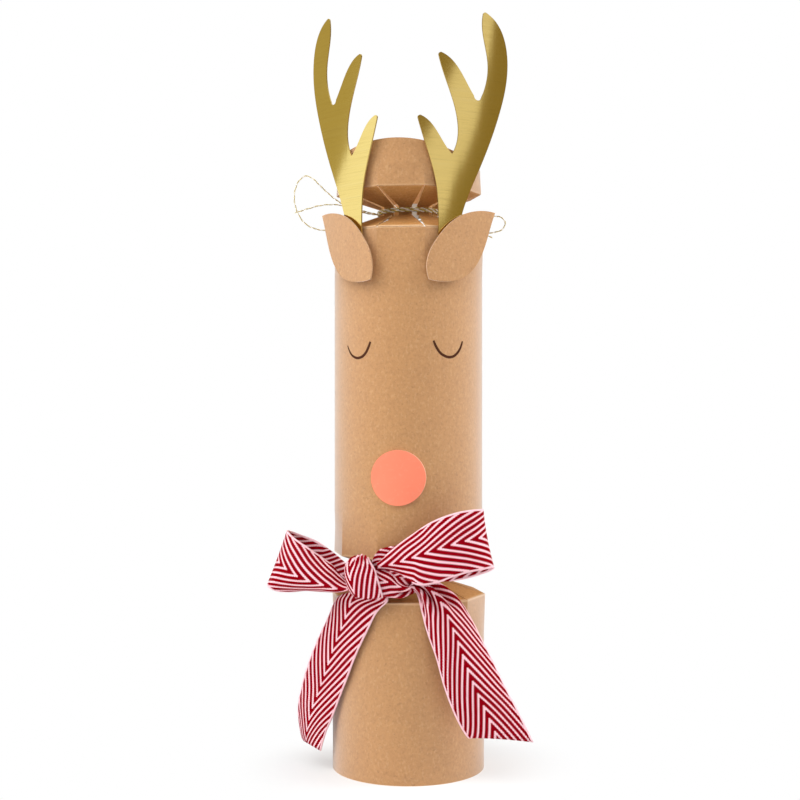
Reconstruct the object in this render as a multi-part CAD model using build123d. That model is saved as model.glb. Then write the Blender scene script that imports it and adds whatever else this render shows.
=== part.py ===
"""A card Christmas cracker that stands on its open foot, with a reindeer's face on its barrel.

+Z is up, the face looks along -Y, and the origin is on the tube's axis in the foot's rim plane.
A turn is an angle round Z from the face, in degrees, positive towards +X. Sizes are in millimetres.
"""
import math
import os

from build123d import *

# The card sheet and its chokes
CARD = 0.5
STRIPS = 10
STEP = 360 / STRIPS
CORNER = 1.015  # a crease's corner radius, as a share of the round tube's radius
FLAT = CORNER * math.cos(math.radians(STEP / 2))  # the same for the middle of a crease
SLIT_AT_CREASE = 0.5
STRIP_AT_NECK = 4.2
FOLD_BLEND = 14.0  # length over which a tube goes from round to its faceted crease

# Heights of the creases and radii of the tubes
FOOT_R, BARREL_R, HEAD_R = 25.2, 24.6, 23.9
FOOT_CREASE_Z = 57.4
BARREL_LOW_Z, BARREL_TOP_Z = 71.3, 177.0
HEAD_CREASE_Z, HEAD_TOP_Z = 190.1, 205.0
HEAD_ARCH_R, HEAD_ARCH_X = 50.0, -2.0  # the arc that the head's top edge is cut to, from the front
HINGE_GAP = 0.3

# Necks, where the strips stand upright inside the ribbon or the twine
LOW_NECK_R, LOW_NECK_Z0, LOW_NECK_Z1 = 8.83, 62.9, 65.7
TOP_NECK_R, TOP_NECK_Z0, TOP_NECK_Z1 = 9.35, 182.3, 185.5
PETAL_TIP_R, PETAL_TIP_Z = 10.4, 182.1

# The glued lap along the back of the tube
LAP_WIDTH_DEG = 24.0

# Face
FOIL = 0.45
ANTLER_TURNS = {"left": -42.0, "right": 32.0}
ANTLER_BASE_SHIFT = {"left": -1.5, "right": 2.3}  # base from the line where the card meets the tube
ANTLER_BEND_R = 200.0
ANTLER_BASE_Z = 163.0
ANTLER_TIP_R = 0.8
EAR_BEND_R, EAR_BASE_Z = 120.0, 159.4
EAR_BASE_SHIFT = {"left": -0.7, "right": 4.5}
PAD = 1.0
PAD_W, PAD_Z0, PAD_Z1 = 6.4, 163.4, 173.4
NOSE_R, NOSE_T, NOSE_Z, NOSE_TURN = 8.8, 0.7, 97.25, -1.7

# Ribbon and its bow, which sits to the left of the face
RIBBON_W, RIBBON_T = 18.6, 0.7
BOW_TURN = 6.0
KNOT_TURN = -31.0
KNOT_HALF_W, KNOT_END_SCALE = 7.0, 0.72
LOOP_TUCK = 2.4  # how far below the barrel's crease a loop runs where it enters the groove

# Twine
TWINE_D = 0.5
WIND_R = 10.15
WIND_PITCH = 0.75
WIND_Z = 183.27
WIND_END_TURN = 174.0  # the winding starts and ends beside the knot at the back
WIND_ARCS = 8
TWINE_KNOT = (0.0, 12.0, 184.0)
TWINE_KNOT_R = 1.5
CORD_CORNER = 0.45  # the share of a run that the arc at its end takes

# Snap: two card strips that overlap in a paper sleeve
SNAP_W, SNAP_T, SNAP_GAP = 5.0, 0.4, 0.1
SNAP_BACK_Y = 8.65
SNAP_LAP_Z0, SNAP_LAP_Z1 = 112.0, 136.0
SNAP_LOW_Z, SNAP_TOP_Z = 60.0, 188.5
SLEEVE_WALL, SLEEVE_ROOM = 0.25, 0.08

# Loose contents, stood side by side in the barrel
HAT_AT, HAT_Z, HAT_H = (-12.0, -4.0), 70.65, 60.0
HAT_R, HAT_SHEET, HAT_PITCH, HAT_HALF_TURNS = 9.0, 0.5, 1.5, 7
HAT_POINT_H = 6.0
BAND_T, BAND_ROOM, BAND_H, BAND_Z = 0.3, 0.02, 12.0, 94.0
MOTTO_AT, MOTTO_Z, MOTTO_H = (0.0, 17.0), 70.95, 42.0
MOTTO_R, MOTTO_SHEET, MOTTO_PITCH, MOTTO_HALF_TURNS = 5.0, 0.35, 1.2, 5
TOP_AT, TOP_Z = (11.0, -5.0), 67.2
TOP_R, TOP_POINT_H, TOP_DISC_H, TOP_CROWN_H = 10.0, 9.0, 5.0, 3.0
PEG_R, PEG_H = 1.8, 18.0
TOP_EDGE_R, PEG_EDGE_R, TOP_SHOULDER = 1.2, 0.6, 1.5


def polar(radius, turn, z):
    """The point at a radius and turn round the tube's axis."""
    angle = math.radians(turn)
    return Vector(radius * math.sin(angle), -radius * math.cos(angle), z)


def sideways(turn):
    """The direction round the tube at a turn, to the viewer's right."""
    return Vector(math.cos(math.radians(turn)), math.sin(math.radians(turn)), 0)


def ring(radius, z, faceted):
    """One round of the tube, as arcs, or as the crease's straight folds."""
    edges = []
    for i in range(STRIPS):
        first, middle, last = ((i + share) * STEP for share in (-0.5, 0, 0.5))
        if faceted:
            edges.append(Edge.make_line(polar(radius * CORNER, first, z), polar(radius * CORNER, last, z)))
        else:
            ends = polar(radius, first, z), polar(radius, middle, z), polar(radius, last, z)
            edges.append(Edge.make_three_point_arc(*ends))
    return Wire(edges)


def tube(radius, rounds):
    """A card tube through rounds of (height, faceted)."""
    outside = Solid.make_loft([ring(radius, z, faceted) for z, faceted in rounds], True)
    inside = Solid.make_loft([ring(radius - CARD, z, faceted) for z, faceted in rounds], True)
    return outside - inside


def lap(radius, z0, z1):
    """The sheet's glued lap, inside the back of a tube."""
    half = LAP_WIDTH_DEG / 2
    outer, inner = radius - CARD, radius - 2 * CARD
    out_a, out_b, out_c = (polar(outer, turn, z0) for turn in (180 - half, 180, 180 + half))
    in_a, in_b, in_c = (polar(inner, turn, z0) for turn in (180 - half, 180, 180 + half))
    outline = [
        Edge.make_three_point_arc(out_a, out_b, out_c),
        Edge.make_line(out_c, in_c),
        Edge.make_three_point_arc(in_c, in_b, in_a),
        Edge.make_line(in_a, out_a),
    ]
    return extrude(Face(Wire(outline)), z1 - z0, (0, 0, 1))


def crease_r(radius):
    """The card's middle at a crease, on the line of a strip's centre."""
    return radius * FLAT - CARD / 2


def strip(turn, start, end, start_w, end_w, back=0.0):
    """A flat strip between (radius, height) places at a turn, begun a little back of its start."""
    first, last = polar(start[0], turn, start[1]), polar(end[0], turn, end[1])
    along = (last - first).normalized()
    plane = Plane(origin=first, x_dir=sideways(turn), z_dir=sideways(turn).cross(along))
    length = (last - first).length
    corners = (-start_w / 2, -back), (start_w / 2, -back), (end_w / 2, length), (-end_w / 2, length)
    return extrude(plane * make_face(Polyline(*corners, close=True)), CARD / 2, both=True)


def strip_width(radius):
    """A strip's width at its crease."""
    return 2 * crease_r(radius) * math.tan(math.radians(STEP / 2)) - SLIT_AT_CREASE


def crease_strip(turn, radius, crease_z, neck):
    """A strip from a tube's crease to the neck, begun inside the tube's card."""
    return strip(turn, (crease_r(radius), crease_z), neck, strip_width(radius), STRIP_AT_NECK, CARD / 4)


def neck_tab(turn, radius, z0, z1):
    """The upright end of a strip inside the neck."""
    return strip(turn, (radius, z1), (radius, z0), STRIP_AT_NECK, STRIP_AT_NECK)


def barrel_card():
    """The barrel with the strips and tabs that run down into the lower neck."""
    top = BARREL_TOP_Z - HINGE_GAP
    rounds = (BARREL_LOW_Z, True), (BARREL_LOW_Z + FOLD_BLEND, False), (top - FOLD_BLEND, False), (top, True)
    card = tube(BARREL_R, rounds) + lap(BARREL_R, BARREL_LOW_Z + FOLD_BLEND, top - FOLD_BLEND)
    for i in range(STRIPS):
        card += crease_strip(i * STEP, BARREL_R, BARREL_LOW_Z, (LOW_NECK_R, LOW_NECK_Z1))
        card += neck_tab(i * STEP, LOW_NECK_R, LOW_NECK_Z0, LOW_NECK_Z1)
    return card


def foot_card():
    """The foot with the strips that run up into the lower neck and meet the barrel's tabs."""
    rounds = (0, False), (FOOT_CREASE_Z - FOLD_BLEND, False), (FOOT_CREASE_Z, True)
    card = tube(FOOT_R, rounds) + lap(FOOT_R, 0, FOOT_CREASE_Z - FOLD_BLEND)
    for i in range(STRIPS):
        card += crease_strip(i * STEP, FOOT_R, FOOT_CREASE_Z, (LOW_NECK_R, LOW_NECK_Z0 - CARD / 2))
    return card


def head_card():
    """The short head above the upper neck, its top edge cut to an arch."""
    blend = FOLD_BLEND / 2
    rounds = (HEAD_CREASE_Z, True), (HEAD_CREASE_Z + blend, False), (HEAD_TOP_Z, False)
    arch = Cylinder(HEAD_ARCH_R, 4 * HEAD_R, rotation=(90, 0, 0))
    card = tube(HEAD_R, rounds) & Pos(HEAD_ARCH_X, 0, HEAD_TOP_Z - HEAD_ARCH_R) * arch
    for i in range(STRIPS):
        card += crease_strip(i * STEP, HEAD_R, HEAD_CREASE_Z, (TOP_NECK_R, TOP_NECK_Z1))
        card += neck_tab(i * STEP, TOP_NECK_R, TOP_NECK_Z0, TOP_NECK_Z1)
    return card


def petal(turn):
    """A strip of the barrel's upper choke, which folds on a round edge along its crease."""
    start = crease_r(BARREL_R), BARREL_TOP_Z
    flap = strip(turn, start, (PETAL_TIP_R, PETAL_TIP_Z), strip_width(BARREL_R), STRIP_AT_NECK)
    across = Plane(origin=polar(start[0], turn, start[1]), z_dir=sideways(turn))
    return flap + across * Cylinder(CARD / 2, strip_width(BARREL_R))


def bent_card(turn, distance, thickness, bend_r, outline, z0):
    """A card cut to an outline of (sideways, height), bent about an upright axis behind it."""
    front = Plane(origin=polar(distance, turn, z0), x_dir=sideways(turn), z_dir=polar(1, turn, 0))
    blank = extrude(front * outline, bend_r / 4, both=True)
    axis = Pos(*polar(distance - bend_r, turn, z0))
    shell = Cylinder(bend_r + thickness, 8 * bend_r) - Cylinder(bend_r, 8 * bend_r)
    return max((blank & axis * shell).solids(), key=lambda piece: piece.center().dot(polar(1, turn, 0)))


def antler_outline(side):
    """An antler's three tines: smooth edges, rounded tips and an arc in the upper crotch."""
    base, tip, second, third = (4.2, 0), (12.9, 84.2), (-4.0, 69.5), (-11.4, 49.0)
    crotch = (12.0, 56.4), (10.5, 55.2), (9.1, 56.6)
    low_crotch, root = (1.0, 37.2), (-4.6, 0)
    splines = (
        (base, (4.0, 16), (11.6, 34), (19.2, 52.5), (22.2, 67.5), (19.4, 79.2), tip),
        (tip, (12.6, 77), (14.5, 67.5), (13.4, 59.6), crotch[0]),
        (crotch[2], (6.6, 60.2), (1.2, 67.1), second),
        (second, (-1.1, 60.7), (2.8, 49.5), (2.8, 41), low_crotch),
        (low_crotch, (-1.4, 39.8), (-6.5, 46.5), third),
        (third, (-8.2, 39.3), (-4.6, 27), (-3.8, 18), root),
    )
    outline = mirrored_face(side, splines, arcs=[crotch], lines=[(root, base)])
    tips = [mirrored(side, [point])[0] for point in (tip, second, third)]
    corners = [min(outline.vertices(), key=lambda v: (Vector(v.X, v.Y) - Vector(*at)).length) for at in tips]
    return fillet(corners, ANTLER_TIP_R)


def ear_outline(side):
    """A leaf with one rounded end and a point."""
    tip, corner = (14.5, 22.9), (-10.1, 0.5)
    splines = (
        (tip, (7.5, 23.0), (0, 20.5), (-6.3, 14.8), (-10.6, 7.0), corner),
        (corner, (-4, 0), (3, 1.9), (8.6, 8.0), (12, 16.2), tip),
    )
    return mirrored_face(side, splines)


def mirrored(side, points):
    """Points drawn for the right side, mirrored for the left."""
    sign = 1 if side == "right" else -1
    return [(sign * u, v) for u, v in points]


def mirrored_face(side, splines, arcs=(), lines=()):
    """A face from edges that are drawn for the right side."""
    curves = []
    for kind, group in ((Spline, splines), (ThreePointArc, arcs), (Line, lines)):
        curves.extend(kind(*mirrored(side, points)) for points in group)
    return make_face(curves)


def shifted(outline, shifts, side):
    """An outline moved sideways from the line where its card meets the tube."""
    return Pos(*mirrored(side, [(shifts[side], 0)])[0]) * outline


def antler(side):
    """A foil antler, glued to the barrel along its base."""
    outline = shifted(antler_outline(side), ANTLER_BASE_SHIFT, side)
    return bent_card(ANTLER_TURNS[side], BARREL_R, FOIL, ANTLER_BEND_R, outline, ANTLER_BASE_Z)


def ear(side):
    """A card ear, stood off the antler's base on its pad."""
    outline = shifted(ear_outline(side), EAR_BASE_SHIFT, side)
    distance = BARREL_R + FOIL + PAD
    return bent_card(ANTLER_TURNS[side], distance, CARD, EAR_BEND_R, outline, EAR_BASE_Z)


def ear_pad(side):
    """The foam pad between an antler's base and its ear."""
    turn = ANTLER_TURNS[side]
    aside = sideways(turn) * mirrored(side, [(ANTLER_BASE_SHIFT[side], 0)])[0][0]
    middle = polar(BARREL_R + FOIL + PAD / 2, turn, (PAD_Z0 + PAD_Z1) / 2)
    plane = Plane(origin=middle + aside, x_dir=sideways(turn), z_dir=polar(1, turn, 0))
    return plane * Box(PAD_W, PAD_Z1 - PAD_Z0, PAD) - antler(side) - ear(side)


def nose_disc():
    """A thick card disc that follows the barrel's curve."""
    shell = Cylinder(BARREL_R + NOSE_T, 4 * NOSE_R) - Cylinder(BARREL_R, 4 * NOSE_R)
    plane = Plane(origin=polar(BARREL_R, NOSE_TURN, NOSE_Z), z_dir=polar(1, NOSE_TURN, 0))
    return Pos(0, 0, NOSE_Z) * shell & plane * Cylinder(NOSE_R, NOSE_R)


def ribbon_band():
    """The ribbon drawn together round the lower neck."""
    profile = (9.5, 63.2), (11.8, 62.6), (11.8, 66.1), (9.5, 65.5)
    return revolve(Plane.XZ * make_face(Polyline(*profile, close=True)), Axis.Z)


def ribbon_knot():
    """The bow's knot: it fills the lower choke's groove and swells out over its edges."""
    under = (11.7, 63.2), (18, 60.9), (23, 59.2), (27, 59.0), (28.6, 61.2)
    over = (28.9, 66), (28.2, 70), (26.5, 71.6), (23, 69.7), (18, 67.9), (11.7, 65.5)
    middle_r, middle_z = 21.5, 65.2
    sections = []
    for shift, scale in ((-KNOT_HALF_W, KNOT_END_SCALE), (0, 1), (KNOT_HALF_W, KNOT_END_SCALE)):
        corners = []
        for radius, z in under + over:
            out, up = (radius - middle_r) * scale, (z - middle_z) * scale
            corners.append(polar(middle_r + out, KNOT_TURN, middle_z + up) + sideways(KNOT_TURN) * shift)
        sections.append(Wire.make_polygon(corners))
    return Solid.make_loft(sections).rotate(Axis.Z, BOW_TURN) - ribbon_band()


def ribbon_tail(stations):
    """A tail of the bow through rows of points from edge to edge, cut where it enters the knot."""
    rows = [[Vector(*point) for point in station] for station in stations]
    middles = [sum(row, Vector()) / len(row) for row in rows]
    sections = []
    for i, row in enumerate(rows):
        along = middles[min(i + 1, len(rows) - 1)] - middles[max(i - 1, 0)]
        chord = (row[-1] - row[0]).normalized()
        normal = (along - chord * along.dot(chord)).normalized()
        row = [point - normal * normal.dot(point - row[0]) for point in row]
        front, back = [], []
        for j, point in enumerate(row):
            across = row[min(j + 1, len(row) - 1)] - row[max(j - 1, 0)]
            lift = normal.cross(across).normalized() * (RIBBON_T / 2)
            front.append(point + lift)
            back.append(point - lift)
        sections.append(Wire.make_polygon(front + back[::-1]))
    piece = Solid.make_loft(sections, True).rotate(Axis.Z, BOW_TURN) - ribbon_knot()
    return max(piece.solids(), key=lambda solid: solid.volume)


# The bow's loops: the bend's middle (x, z), its lean, the route from knot to knot as (distance from the
# bend, y) with a radius for each corner, and the outline that the gathers leave, seen from the front
LOOPS = {
    "left": dict(
        bend=(-42.9, 70.7), lean=18.4, inward=1,
        route=((29.5, -17.5), (22.5, -19.5), (0, -19.5), (0, -8.2), (17.5, -8.2), (29.5, -14.0)),
        radii=(30, 5.6, 5.6, 20),
        outline=(
            (-13, 66.4), (-19, 68.4), (-23, 72), (-30, 76.6), (-40, 81), (-56, 84),
            (-56, 60.4), (-43, 60.4), (-23, 60.3), (-13, 62.2),
        ),
    ),
    "right": dict(
        bend=(25.1, 78.0), lean=-10.4, inward=-1,
        route=((35.5, -24.6), (14, -35.8), (0, -35.8), (0, -28.0), (26.5, -28.0), (36.0, -19.5)),
        radii=(20, 3.8, 3.8, 9),
        outline=(
            (-10, 69), (-4.5, 75), (3.3, 81), (9, 84.6), (15, 86.5), (24, 88),
            (40, 90), (40, 66), (22, 66.6), (4, 63.4), (-3, 62.6), (-10, 62.4),
        ),
    ),
}


def ribbon_loop(bend, lean, inward, route, radii, outline):
    """A loop of the bow: ribbon on edge along its route, leant over, narrowed to its outline at the knot."""
    path = FilletPolyline(*[(bend[0] + inward * away, y, bend[1]) for away, y in route], radius=radii)
    section = Plane(origin=path @ 0, x_dir=(path % 0).cross(Vector(0, 0, 1)), z_dir=path % 0)
    ribbon = sweep(section * Rectangle(RIBBON_T, RIBBON_W), path)
    ribbon = ribbon.rotate(Axis((bend[0], 0, bend[1]), (0, 1, 0)), lean)
    shown = extrude(Plane.XZ * make_face(Polyline(*outline, close=True)), 2 * FOOT_R)
    barrel = Cylinder(BARREL_R * CORNER + RIBBON_T / 2, 2 * RIBBON_W)
    above_groove = Pos(0, 0, BARREL_LOW_Z - LOOP_TUCK + RIBBON_W) * barrel
    piece = (ribbon & shown).rotate(Axis.Z, BOW_TURN) - ribbon_knot() - above_groove
    return max(piece.solids(), key=lambda solid: solid.volume)


# The bow's tails: rows of points from edge to edge, from the knot down to the cut end. The left one lies
# against the foot's side before it hangs free
TAIL_LEFT = (
    ((-16.6, -20.2, 60.6), (-12.6, -23.0, 60.9), (-8.4, -24.8, 60.9)),
    ((-20.6, -18.0, 58.6), (-15.6, -22.8, 59.2), (-6.6, -26.2, 58.4)),
    ((-23.6, -13.1, 56.9), (-18.2, -20.6, 57.1), (-9.9, -25.0, 54.8)),
    ((-26.2, -10.4, 50.9), (-20.8, -18.0, 50.0), (-13.2, -23.2, 48.1)),
    ((-29.8, -7.9, 43.1), (-23.9, -14.9, 42.1), (-16.7, -20.8, 40.4)),
    ((-32.7, -5.7, 35.8), (-26.4, -12.4, 34.7), (-19.4, -18.3, 33.1)),
    ((-35.2, -1.5, 27.6), (-29.1, -8.5, 26.8), (-22.2, -14.6, 25.4)),
    ((-36.9, 1.6, 19.0), (-31.8, -6.2, 19.5), (-24.6, -12.0, 18.8)),
    ((-36.5, 5.0, 10.6), (-33.5, -3.7, 12.0), (-26.8, -10.0, 13.4)),
    ((-35.3, 8.2, 5.9), (-33.8, -0.8, 7.7), (-28.7, -8.5, 6.9)),
)
TAIL_RIGHT = (
    ((-7.1, -22.5, 60.0), (-7.1, -22.5, 62.6)),
    ((0.5, -26.4, 59.6), (4.6, -26.0, 63.2)),
    ((3.0, -28.4, 56.0), (14.8, -25.2, 59.6)),
    ((6.0, -29.5, 50.0), (20.2, -21.2, 51.0)),
    ((10.0, -29.5, 41.5), (25.2, -20.2, 41.5)),
    ((13.6, -29.0, 31.5), (30.8, -20.5, 30.0)),
    ((16.0, -27.5, 23.5), (35.0, -22.0, 21.0)),
    ((18.5, -26.0, 16.1), (39.6, -24.0, 13.4)),
)

# The twine's routes, from the knot at the back of the upper neck
TWINE_LOOP_LEFT = (
    (-0.6, 12.3, 184.6), (-8.4, 11.8, 185.0), (-16.4, 10.5, 185.6), (-24.4, 8.6, 189.0), (-29.2, 7.2, 193.0),
    (-33.6, 5.4, 197.7), (-36.1, 5.0, 198.2), (-38.6, 5.0, 195.9), (-39.9, 5.0, 191.1), (-38.9, 5.2, 185.8),
    (-35.7, 5.7, 181.1), (-30.4, 7.2, 179.5), (-23.4, 9.2, 179.8), (-16.0, 10.9, 181.4), (-8.6, 12.3, 182.9),
    (-0.6, 12.7, 183.4),
)
TWINE_LOOP_RIGHT = (
    (0.6, 12.3, 184.6), (8.0, 11.6, 185.2), (15.6, 9.9, 184.8), (23.0, 8.0, 184.2), (28.6, 6.8, 183.7),
    (31.2, 6.2, 183.2), (32.4, 6.0, 180.8), (30.7, 6.0, 178.5), (26.8, 6.7, 177.9), (22.0, 8.6, 178.2),
    (16.6, 10.4, 180.6), (8.4, 12.3, 182.7), (0.6, 12.7, 183.4),
)
TWINE_TAIL_LEFT = (
    (-0.6, 13.2, 184.2), (-8.8, 13.5, 185.0), (-16.6, 12.4, 186.6), (-24.6, 11.0, 189.0), (-31.0, 9.8, 188.8),
    (-35.7, 9.0, 187.4), (-40.4, 8.8, 185.9),
)
TWINE_TAIL_RIGHT = (
    (0.6, 13.2, 184.2), (8.2, 13.3, 183.9), (15.4, 12.2, 182.0), (21.6, 10.6, 179.6), (27.6, 9.0, 176.7),
)


def cord_radii(points):
    """The arc at each corner of a route, which takes a share of the shorter run beside it."""
    radii = []
    for before, here, after in zip(points, points[1:], points[2:]):
        arrive, leave = Vector(*here) - Vector(*before), Vector(*after) - Vector(*here)
        half_turn = math.radians(arrive.get_angle(leave)) / 2
        radii.append(CORD_CORNER * min(arrive.length, leave.length) / math.tan(half_turn))
    return radii


def cord_tube(name, points):
    """The twine along a route of runs and arcs, cut where it enters the knot."""
    radii = cord_radii(points)
    path = FilletPolyline(*points, radius=radii)
    section = Plane(origin=path @ 0, z_dir=path % 0) * Circle(TWINE_D / 2)
    whole = sweep(section, path)
    filled = whole.volume / (math.pi * (TWINE_D / 2) ** 2 * path.length)
    print(f"{name}: radii from {min(radii):.1f}, length {path.length:.1f}, volume {filled:.3f} of it")
    return max((whole - twine_knot()).solids(), key=lambda solid: solid.volume)


def twine_knot():
    """The knot that closes the winding."""
    return Pos(*TWINE_KNOT) * Sphere(TWINE_KNOT_R)


def wind_place(share):
    """A place on the winding, from 0 at its start to 1 at its end, and the way that it runs there."""
    turns = 2 - 2 * (180 - WIND_END_TURN) / 360
    turn = 360 - WIND_END_TURN + share * turns * 360
    climb = Vector(0, 0, WIND_PITCH / (2 * math.pi * WIND_R))
    return polar(WIND_R, turn, WIND_Z + share * turns * WIND_PITCH), (sideways(turn) + climb).normalized()


def biarc(start, start_way, end, end_way):
    """Two arcs that meet smoothly and keep the ways given at both ends."""
    across, ways = end - start, start_way + end_way
    spread = 2 * (1 - start_way.dot(end_way))
    reach = (-across.dot(ways) + math.sqrt(across.dot(ways) ** 2 + spread * across.dot(across))) / spread
    middle = (start + end + (start_way - end_way) * reach) / 2
    middle_way = (end - middle - end_way * reach / 2 - (start + start_way * reach / 2 - middle)).normalized()
    return Edge.make_tangent_arc(start, start_way, middle), Edge.make_tangent_arc(middle, middle_way, end)


def twine_winding():
    """Two turns of twine round the upper neck, as one tube from knot to knot."""
    edges = []
    for i in range(WIND_ARCS):
        edges.extend(biarc(*wind_place(i / WIND_ARCS), *wind_place((i + 1) / WIND_ARCS)))
    path = Wire(edges)
    section = Plane(origin=path @ 0, z_dir=path % 0) * Circle(TWINE_D / 2)
    points = [wind_place(i / 400)[0] for i in range(401)]
    apart = [(a - b).length for i, a in enumerate(points) for b in points[i + 100:]]
    print(f"twine_winding: least gap to itself {min(apart) - TWINE_D:.2f}")
    return max((sweep(section, path) - twine_knot()).solids(), key=lambda solid: solid.volume)


def snap_strip(y, z0, z1):
    """A card strip of the snap, with its front face at y."""
    return Pos(0, y + SNAP_T / 2, (z0 + z1) / 2) * Box(SNAP_W, SNAP_T, z1 - z0)


def snap_pieces():
    """The upper strip, the lower strip in front of it, and the sleeve round their lap."""
    front_y = SNAP_BACK_Y - SNAP_GAP - SNAP_T
    depth = 2 * SNAP_T + SNAP_GAP + 2 * SLEEVE_ROOM
    middle_y = (front_y + SNAP_BACK_Y + SNAP_T) / 2
    length = SNAP_LAP_Z1 - SNAP_LAP_Z0
    room = Box(SNAP_W + 2 * SLEEVE_ROOM, depth, length)
    outside = Box(SNAP_W + 2 * SLEEVE_ROOM + 2 * SLEEVE_WALL, depth + 2 * SLEEVE_WALL, length)
    return {
        "snap_upper_strip": snap_strip(SNAP_BACK_Y, SNAP_LAP_Z0, SNAP_TOP_Z),
        "snap_lower_strip": snap_strip(front_y, SNAP_LOW_Z, SNAP_LAP_Z1),
        "snap_sleeve": Pos(0, middle_y, (SNAP_LAP_Z0 + SNAP_LAP_Z1) / 2) * (outside - room),
    }


def roll(radius, sheet, pitch, half_turns):
    """The outline of a rolled sheet: half circles that step in by half a pitch each."""
    outer, inner = [], []
    for edges, start in ((outer, radius), (inner, radius - sheet)):
        place, side = start, 1
        for i in range(half_turns):
            arc_r = start - (i + 0.5) * pitch / 2
            end = place - side * 2 * arc_r
            edges.append(ThreePointArc((place, 0), ((place + end) / 2, side * arc_r), (end, 0)))
            place, side = end, -side
    ends = [Line(outer[0] @ 0, inner[0] @ 0), Line(outer[-1] @ 1, inner[-1] @ 1)]
    return make_face(outer + inner + ends)


def hat_roll():
    """A tissue-paper crown, rolled up, with its points at the top."""
    sheet = extrude(roll(HAT_R, HAT_SHEET, HAT_PITCH, HAT_HALF_TURNS), HAT_H)
    half, above = HAT_POINT_H / 2, HAT_H + 1
    notch = make_face(Polyline((0, HAT_H - HAT_POINT_H), (half, above), (-half, above), close=True))
    for turn in (30, 90, 150):
        sheet -= Rot(0, 0, turn) * extrude(Plane.XZ * notch, 2 * HAT_R, both=True)
    return Pos(*HAT_AT, HAT_Z) * sheet


def hat_band():
    """The paper band that keeps the crown rolled."""
    inner = HAT_R + BAND_ROOM
    band = Cylinder(inner + BAND_T, BAND_H) - Cylinder(inner, BAND_H)
    return Pos(*HAT_AT, BAND_Z) * band


def motto_slip():
    """The rolled motto slip."""
    outline = roll(MOTTO_R, MOTTO_SHEET, MOTTO_PITCH, MOTTO_HALF_TURNS)
    return Pos(*MOTTO_AT, MOTTO_Z) * extrude(outline, MOTTO_H)


def top_body():
    """The spinning top's turned body, on its point, bored for the peg."""
    rim_z = TOP_POINT_H + TOP_DISC_H
    crown_z = rim_z + TOP_CROWN_H
    profile = (0, 0), (TOP_R, TOP_POINT_H), (TOP_R, rim_z), (PEG_R + TOP_SHOULDER, crown_z), (0, crown_z)
    turned = revolve(Plane.XZ * make_face(Polyline(*profile, close=True)), Axis.Z)
    turned = fillet(turned.edges().filter_by(GeomType.CIRCLE).group_by(SortBy.RADIUS)[-1], TOP_EDGE_R)
    bore = Pos(0, 0, crown_z) * Cylinder(PEG_R, TOP_DISC_H + TOP_CROWN_H)
    return Pos(*TOP_AT, TOP_Z) * (turned - bore)


def top_peg():
    """The top's peg, standing in its bore."""
    seat_z = TOP_POINT_H + TOP_DISC_H + TOP_CROWN_H - (TOP_DISC_H + TOP_CROWN_H) / 2
    peg = fillet((Pos(0, 0, PEG_H / 2) * Cylinder(PEG_R, PEG_H)).edges().group_by(Axis.Z)[-1], PEG_EDGE_R)
    return Pos(*TOP_AT, TOP_Z + seat_z) * peg


def all_parts():
    """Every node by name."""
    barrel = barrel_card()
    parts = {"barrel_card": barrel, "foot_card": foot_card() - barrel, "head_card": head_card()}
    for i in range(STRIPS):
        parts[f"petal_{i + 1:02d}"] = petal(i * STEP)
    for side in ("left", "right"):
        parts[f"antler_{side}"] = antler(side)
        parts[f"ear_{side}"] = ear(side)
        parts[f"ear_pad_{side}"] = ear_pad(side)
    parts["nose_disc"] = nose_disc()
    parts["ribbon_band"] = ribbon_band()
    parts["ribbon_knot"] = ribbon_knot()
    for side, stations in (("left", TAIL_LEFT), ("right", TAIL_RIGHT)):
        parts[f"ribbon_loop_{side}"] = ribbon_loop(**LOOPS[side])
        parts[f"ribbon_tail_{side}"] = ribbon_tail(stations)
    parts["twine_winding"] = twine_winding()
    parts["twine_knot"] = twine_knot() - parts["twine_winding"]
    routes = {"twine_loop_left": TWINE_LOOP_LEFT, "twine_loop_right": TWINE_LOOP_RIGHT,
              "twine_tail_left": TWINE_TAIL_LEFT, "twine_tail_right": TWINE_TAIL_RIGHT}
    for name, points in routes.items():
        parts[name] = cord_tube(name, points)
    parts.update(snap_pieces())
    parts.update(hat_roll=hat_roll(), hat_band=hat_band(), motto_slip=motto_slip())
    parts.update(top_body=top_body(), top_peg=top_peg())
    return parts


if __name__ == "__main__":
    os.makedirs("parts", exist_ok=True)
    for node, shape in all_parts().items():
        export_step(shape, f"parts/{node}.step")
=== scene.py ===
"""Finishes a card Christmas cracker with a reindeer's face: kraft card, foil, ribbon bow, twine and contents.

It is laid out as an add-on and run as a script. Lengths are in metres unless a note says millimetres.
A turn is an angle round Z from the face, in degrees, positive towards +X.
"""

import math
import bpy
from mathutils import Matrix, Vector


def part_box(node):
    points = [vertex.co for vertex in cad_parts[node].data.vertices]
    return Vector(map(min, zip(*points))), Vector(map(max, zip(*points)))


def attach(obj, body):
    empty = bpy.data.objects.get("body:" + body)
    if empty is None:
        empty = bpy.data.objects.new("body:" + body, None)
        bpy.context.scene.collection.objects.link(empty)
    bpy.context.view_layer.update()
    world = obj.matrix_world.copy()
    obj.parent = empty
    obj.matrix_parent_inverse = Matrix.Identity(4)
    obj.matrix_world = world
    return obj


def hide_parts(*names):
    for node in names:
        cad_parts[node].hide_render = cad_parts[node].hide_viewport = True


bl_info = {
    "name": "Reindeer cracker",
    "version": (1, 0, 0),
    "blender": (4, 5, 0),
    "location": "3D View > Sidebar > Cracker",
    "description": "Card, foil, ribbon bow, twine, snap and contents of a Christmas cracker",
    "category": "Object",
}

import bpy
import numpy as np
from mathutils import Matrix, Vector

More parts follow.
